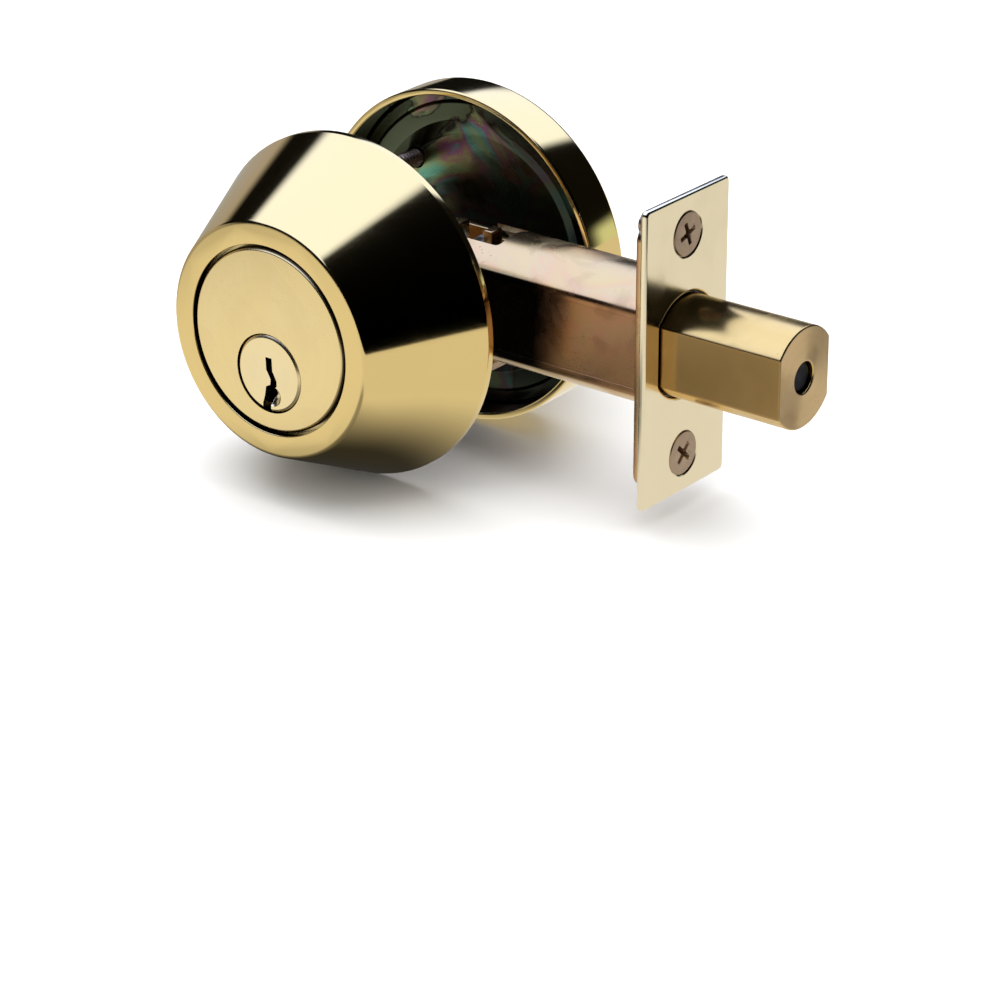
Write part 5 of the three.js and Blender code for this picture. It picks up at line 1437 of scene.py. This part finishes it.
def pool(tree, x, y, centre, inner, outer, darkest):
    """A soft round shadow: darkest inside the inner radius, none outside the outer one."""
    offset = put(tree, "CombineXYZ",
                 {"X": maths(tree, "SUBTRACT", x, centre[0]), "Y": maths(tree, "SUBTRACT", y, centre[1])})
    reach = put(tree, "VectorMath", {0: offset.outputs[0]}, operation="LENGTH").outputs["Value"]
    return band(tree, reach, inner, outer, darkest, 1.0)


def studio():
    floor_z = cad_box[0][2] - 0.05 * mm
    reach = 4.0
    corners = [(-reach, -reach, floor_z), (reach, -reach, floor_z), (reach, reach, floor_z),
               (-reach, reach, floor_z)]
    pale = sheet_between("floor", corners, plain("pale_floor", (0.82, 0.82, 0.81)))
    seen_only_by(pale, camera=True, diffuse=True, glossy=False, shadow=True)

    # The floor seen only in reflections glows in place of a lit floor, with painted shadows under the cone
    # and the bolt, painted shade towards the left and a little less light to the right.
    def floor_spread(tree, x, y, z):
        left = band(tree, x, -0.2, -0.07, 0.45, 1.0)
        right = band(tree, x, 0.0, 0.06, 1.0, 0.86)
        under_cone = pool(tree, x, y, (0.0, -0.028), 0.014, 0.05, 0.04)
        under_bolt = pool(tree, x, y, (0.024, -0.068), 0.014, 0.036, 0.4)
        sides = times(tree, left, right)
        return times(tree, sides, times(tree, under_cone, under_bolt))

    near = sheet_between("floor_in_metal", [(x, y, floor_z - HAIR) for x, y, _ in corners],
                         glowing("floor_glow", (1.0, 0.985, 0.95), 0.9, floor_spread))
    seen_only_by(near, glossy=True)

    right = 0.21
    flag = sheet_between("black_flag", [(right, -1.5, floor_z), (right, 0.16, floor_z), (right, 0.16, 0.65),
                                        (right, -1.5, 0.65)],
                         glowing("black_cloth", (1, 1, 1), 0.004, lambda tree, x, y,
                                 z: band(tree, z, 0.0, 0.6)))
    seen_only_by(flag, glossy=True)

    def panel_spread(tree, x, y, z):
        across = times(tree, band(tree, x, -0.84, -0.62), band(tree, x, 0.15, 0.24, 1.0, 0.0))
        along = times(tree, band(tree, y, -0.72, -0.6), band(tree, y, 0.9, 1.15, 1.0, 0.0))
        return times(tree, across, along)

    def strip_spread(tree, x, y, z):
        across = times(tree, band(tree, x, 0.38, 0.42), band(tree, x, 0.46, 0.5, 1.0, 0.0))
        return times(tree, across, band(tree, z, 0.05, 0.13, 1.0, 0.0))

    height = 0.62
    panel = sheet_between("overhead_panel",
                          [(-0.84, -0.72, height), (0.24, -0.72, height), (0.24, 1.15, height),
                           (-0.84, 1.15, height)],
                          glowing("panel_glow", (0.52, 0.62, 1.0), 2.3, panel_spread))
    seen_only_by(panel, glossy=True)
    strip = sheet_between("rear_strip",
                          [(0.5, 0.46, 0.0), (0.38, 0.58, 0.0), (0.38, 0.58, 0.13), (0.5, 0.46, 0.13)],
                          glowing("strip_glow", (0.8, 0.95, 0.8), 0.9, strip_spread))
    seen_only_by(strip, glossy=True)

    wall = sheet_between("left_wall",
                         [(-1.6, -1.2, -0.5), (-1.6, 1.6, -0.5), (-1.6, 1.6, 0.62), (-1.6, -1.2, 0.62)],
                         glowing("wall_glow", (1, 0.96, 1.0), 0.42,
                                 lambda tree, x, y, z: band(tree, z, 0.3, 0.6, 1.0, 0.0)))
    seen_only_by(wall, glossy=True)

    def lamp(name, size_x, size_y, place, watts):
        data = bpy.data.lights.new(name, "AREA")
        data.shape = "RECTANGLE"
        data.size, data.size_y = size_x, size_y
        data.energy = watts
        light = bpy.data.objects.new(name, data)
        light.location = place
        light.rotation_euler = (Vector((0, 0, 0)) - Vector(place)).to_track_quat("-Z", "Y").to_euler()
        light.visible_camera = False
        light.visible_glossy = False
        bpy.context.scene.collection.objects.link(light)

    lamp("overhead", 1.8, 2.0, (-0.1, 0.1, 1.2), 34)
    lamp("front_fill", 1.4, 1.4, (0.4, -1.3, 1.0), 14)

    world = bpy.data.worlds.new("studio_air")
    world.use_nodes = True
    tree = world.node_tree
    air = tree.nodes["Background"]
    rays = put(tree, "LightPath")
    room_light, light_in_metal = 0.4, 0.005
    share = maths(tree, "MULTIPLY_ADD", rays.outputs["Is Glossy Ray"], light_in_metal - room_light)
    share.node.inputs[2].default_value = room_light
    tree.links.new(share, air.inputs["Strength"])
    air.inputs["Color"].default_value = shade(1, 1, 1)
    bpy.context.scene.world = world
    bpy.context.scene.view_settings.view_transform = "Standard"


camera()
studio()
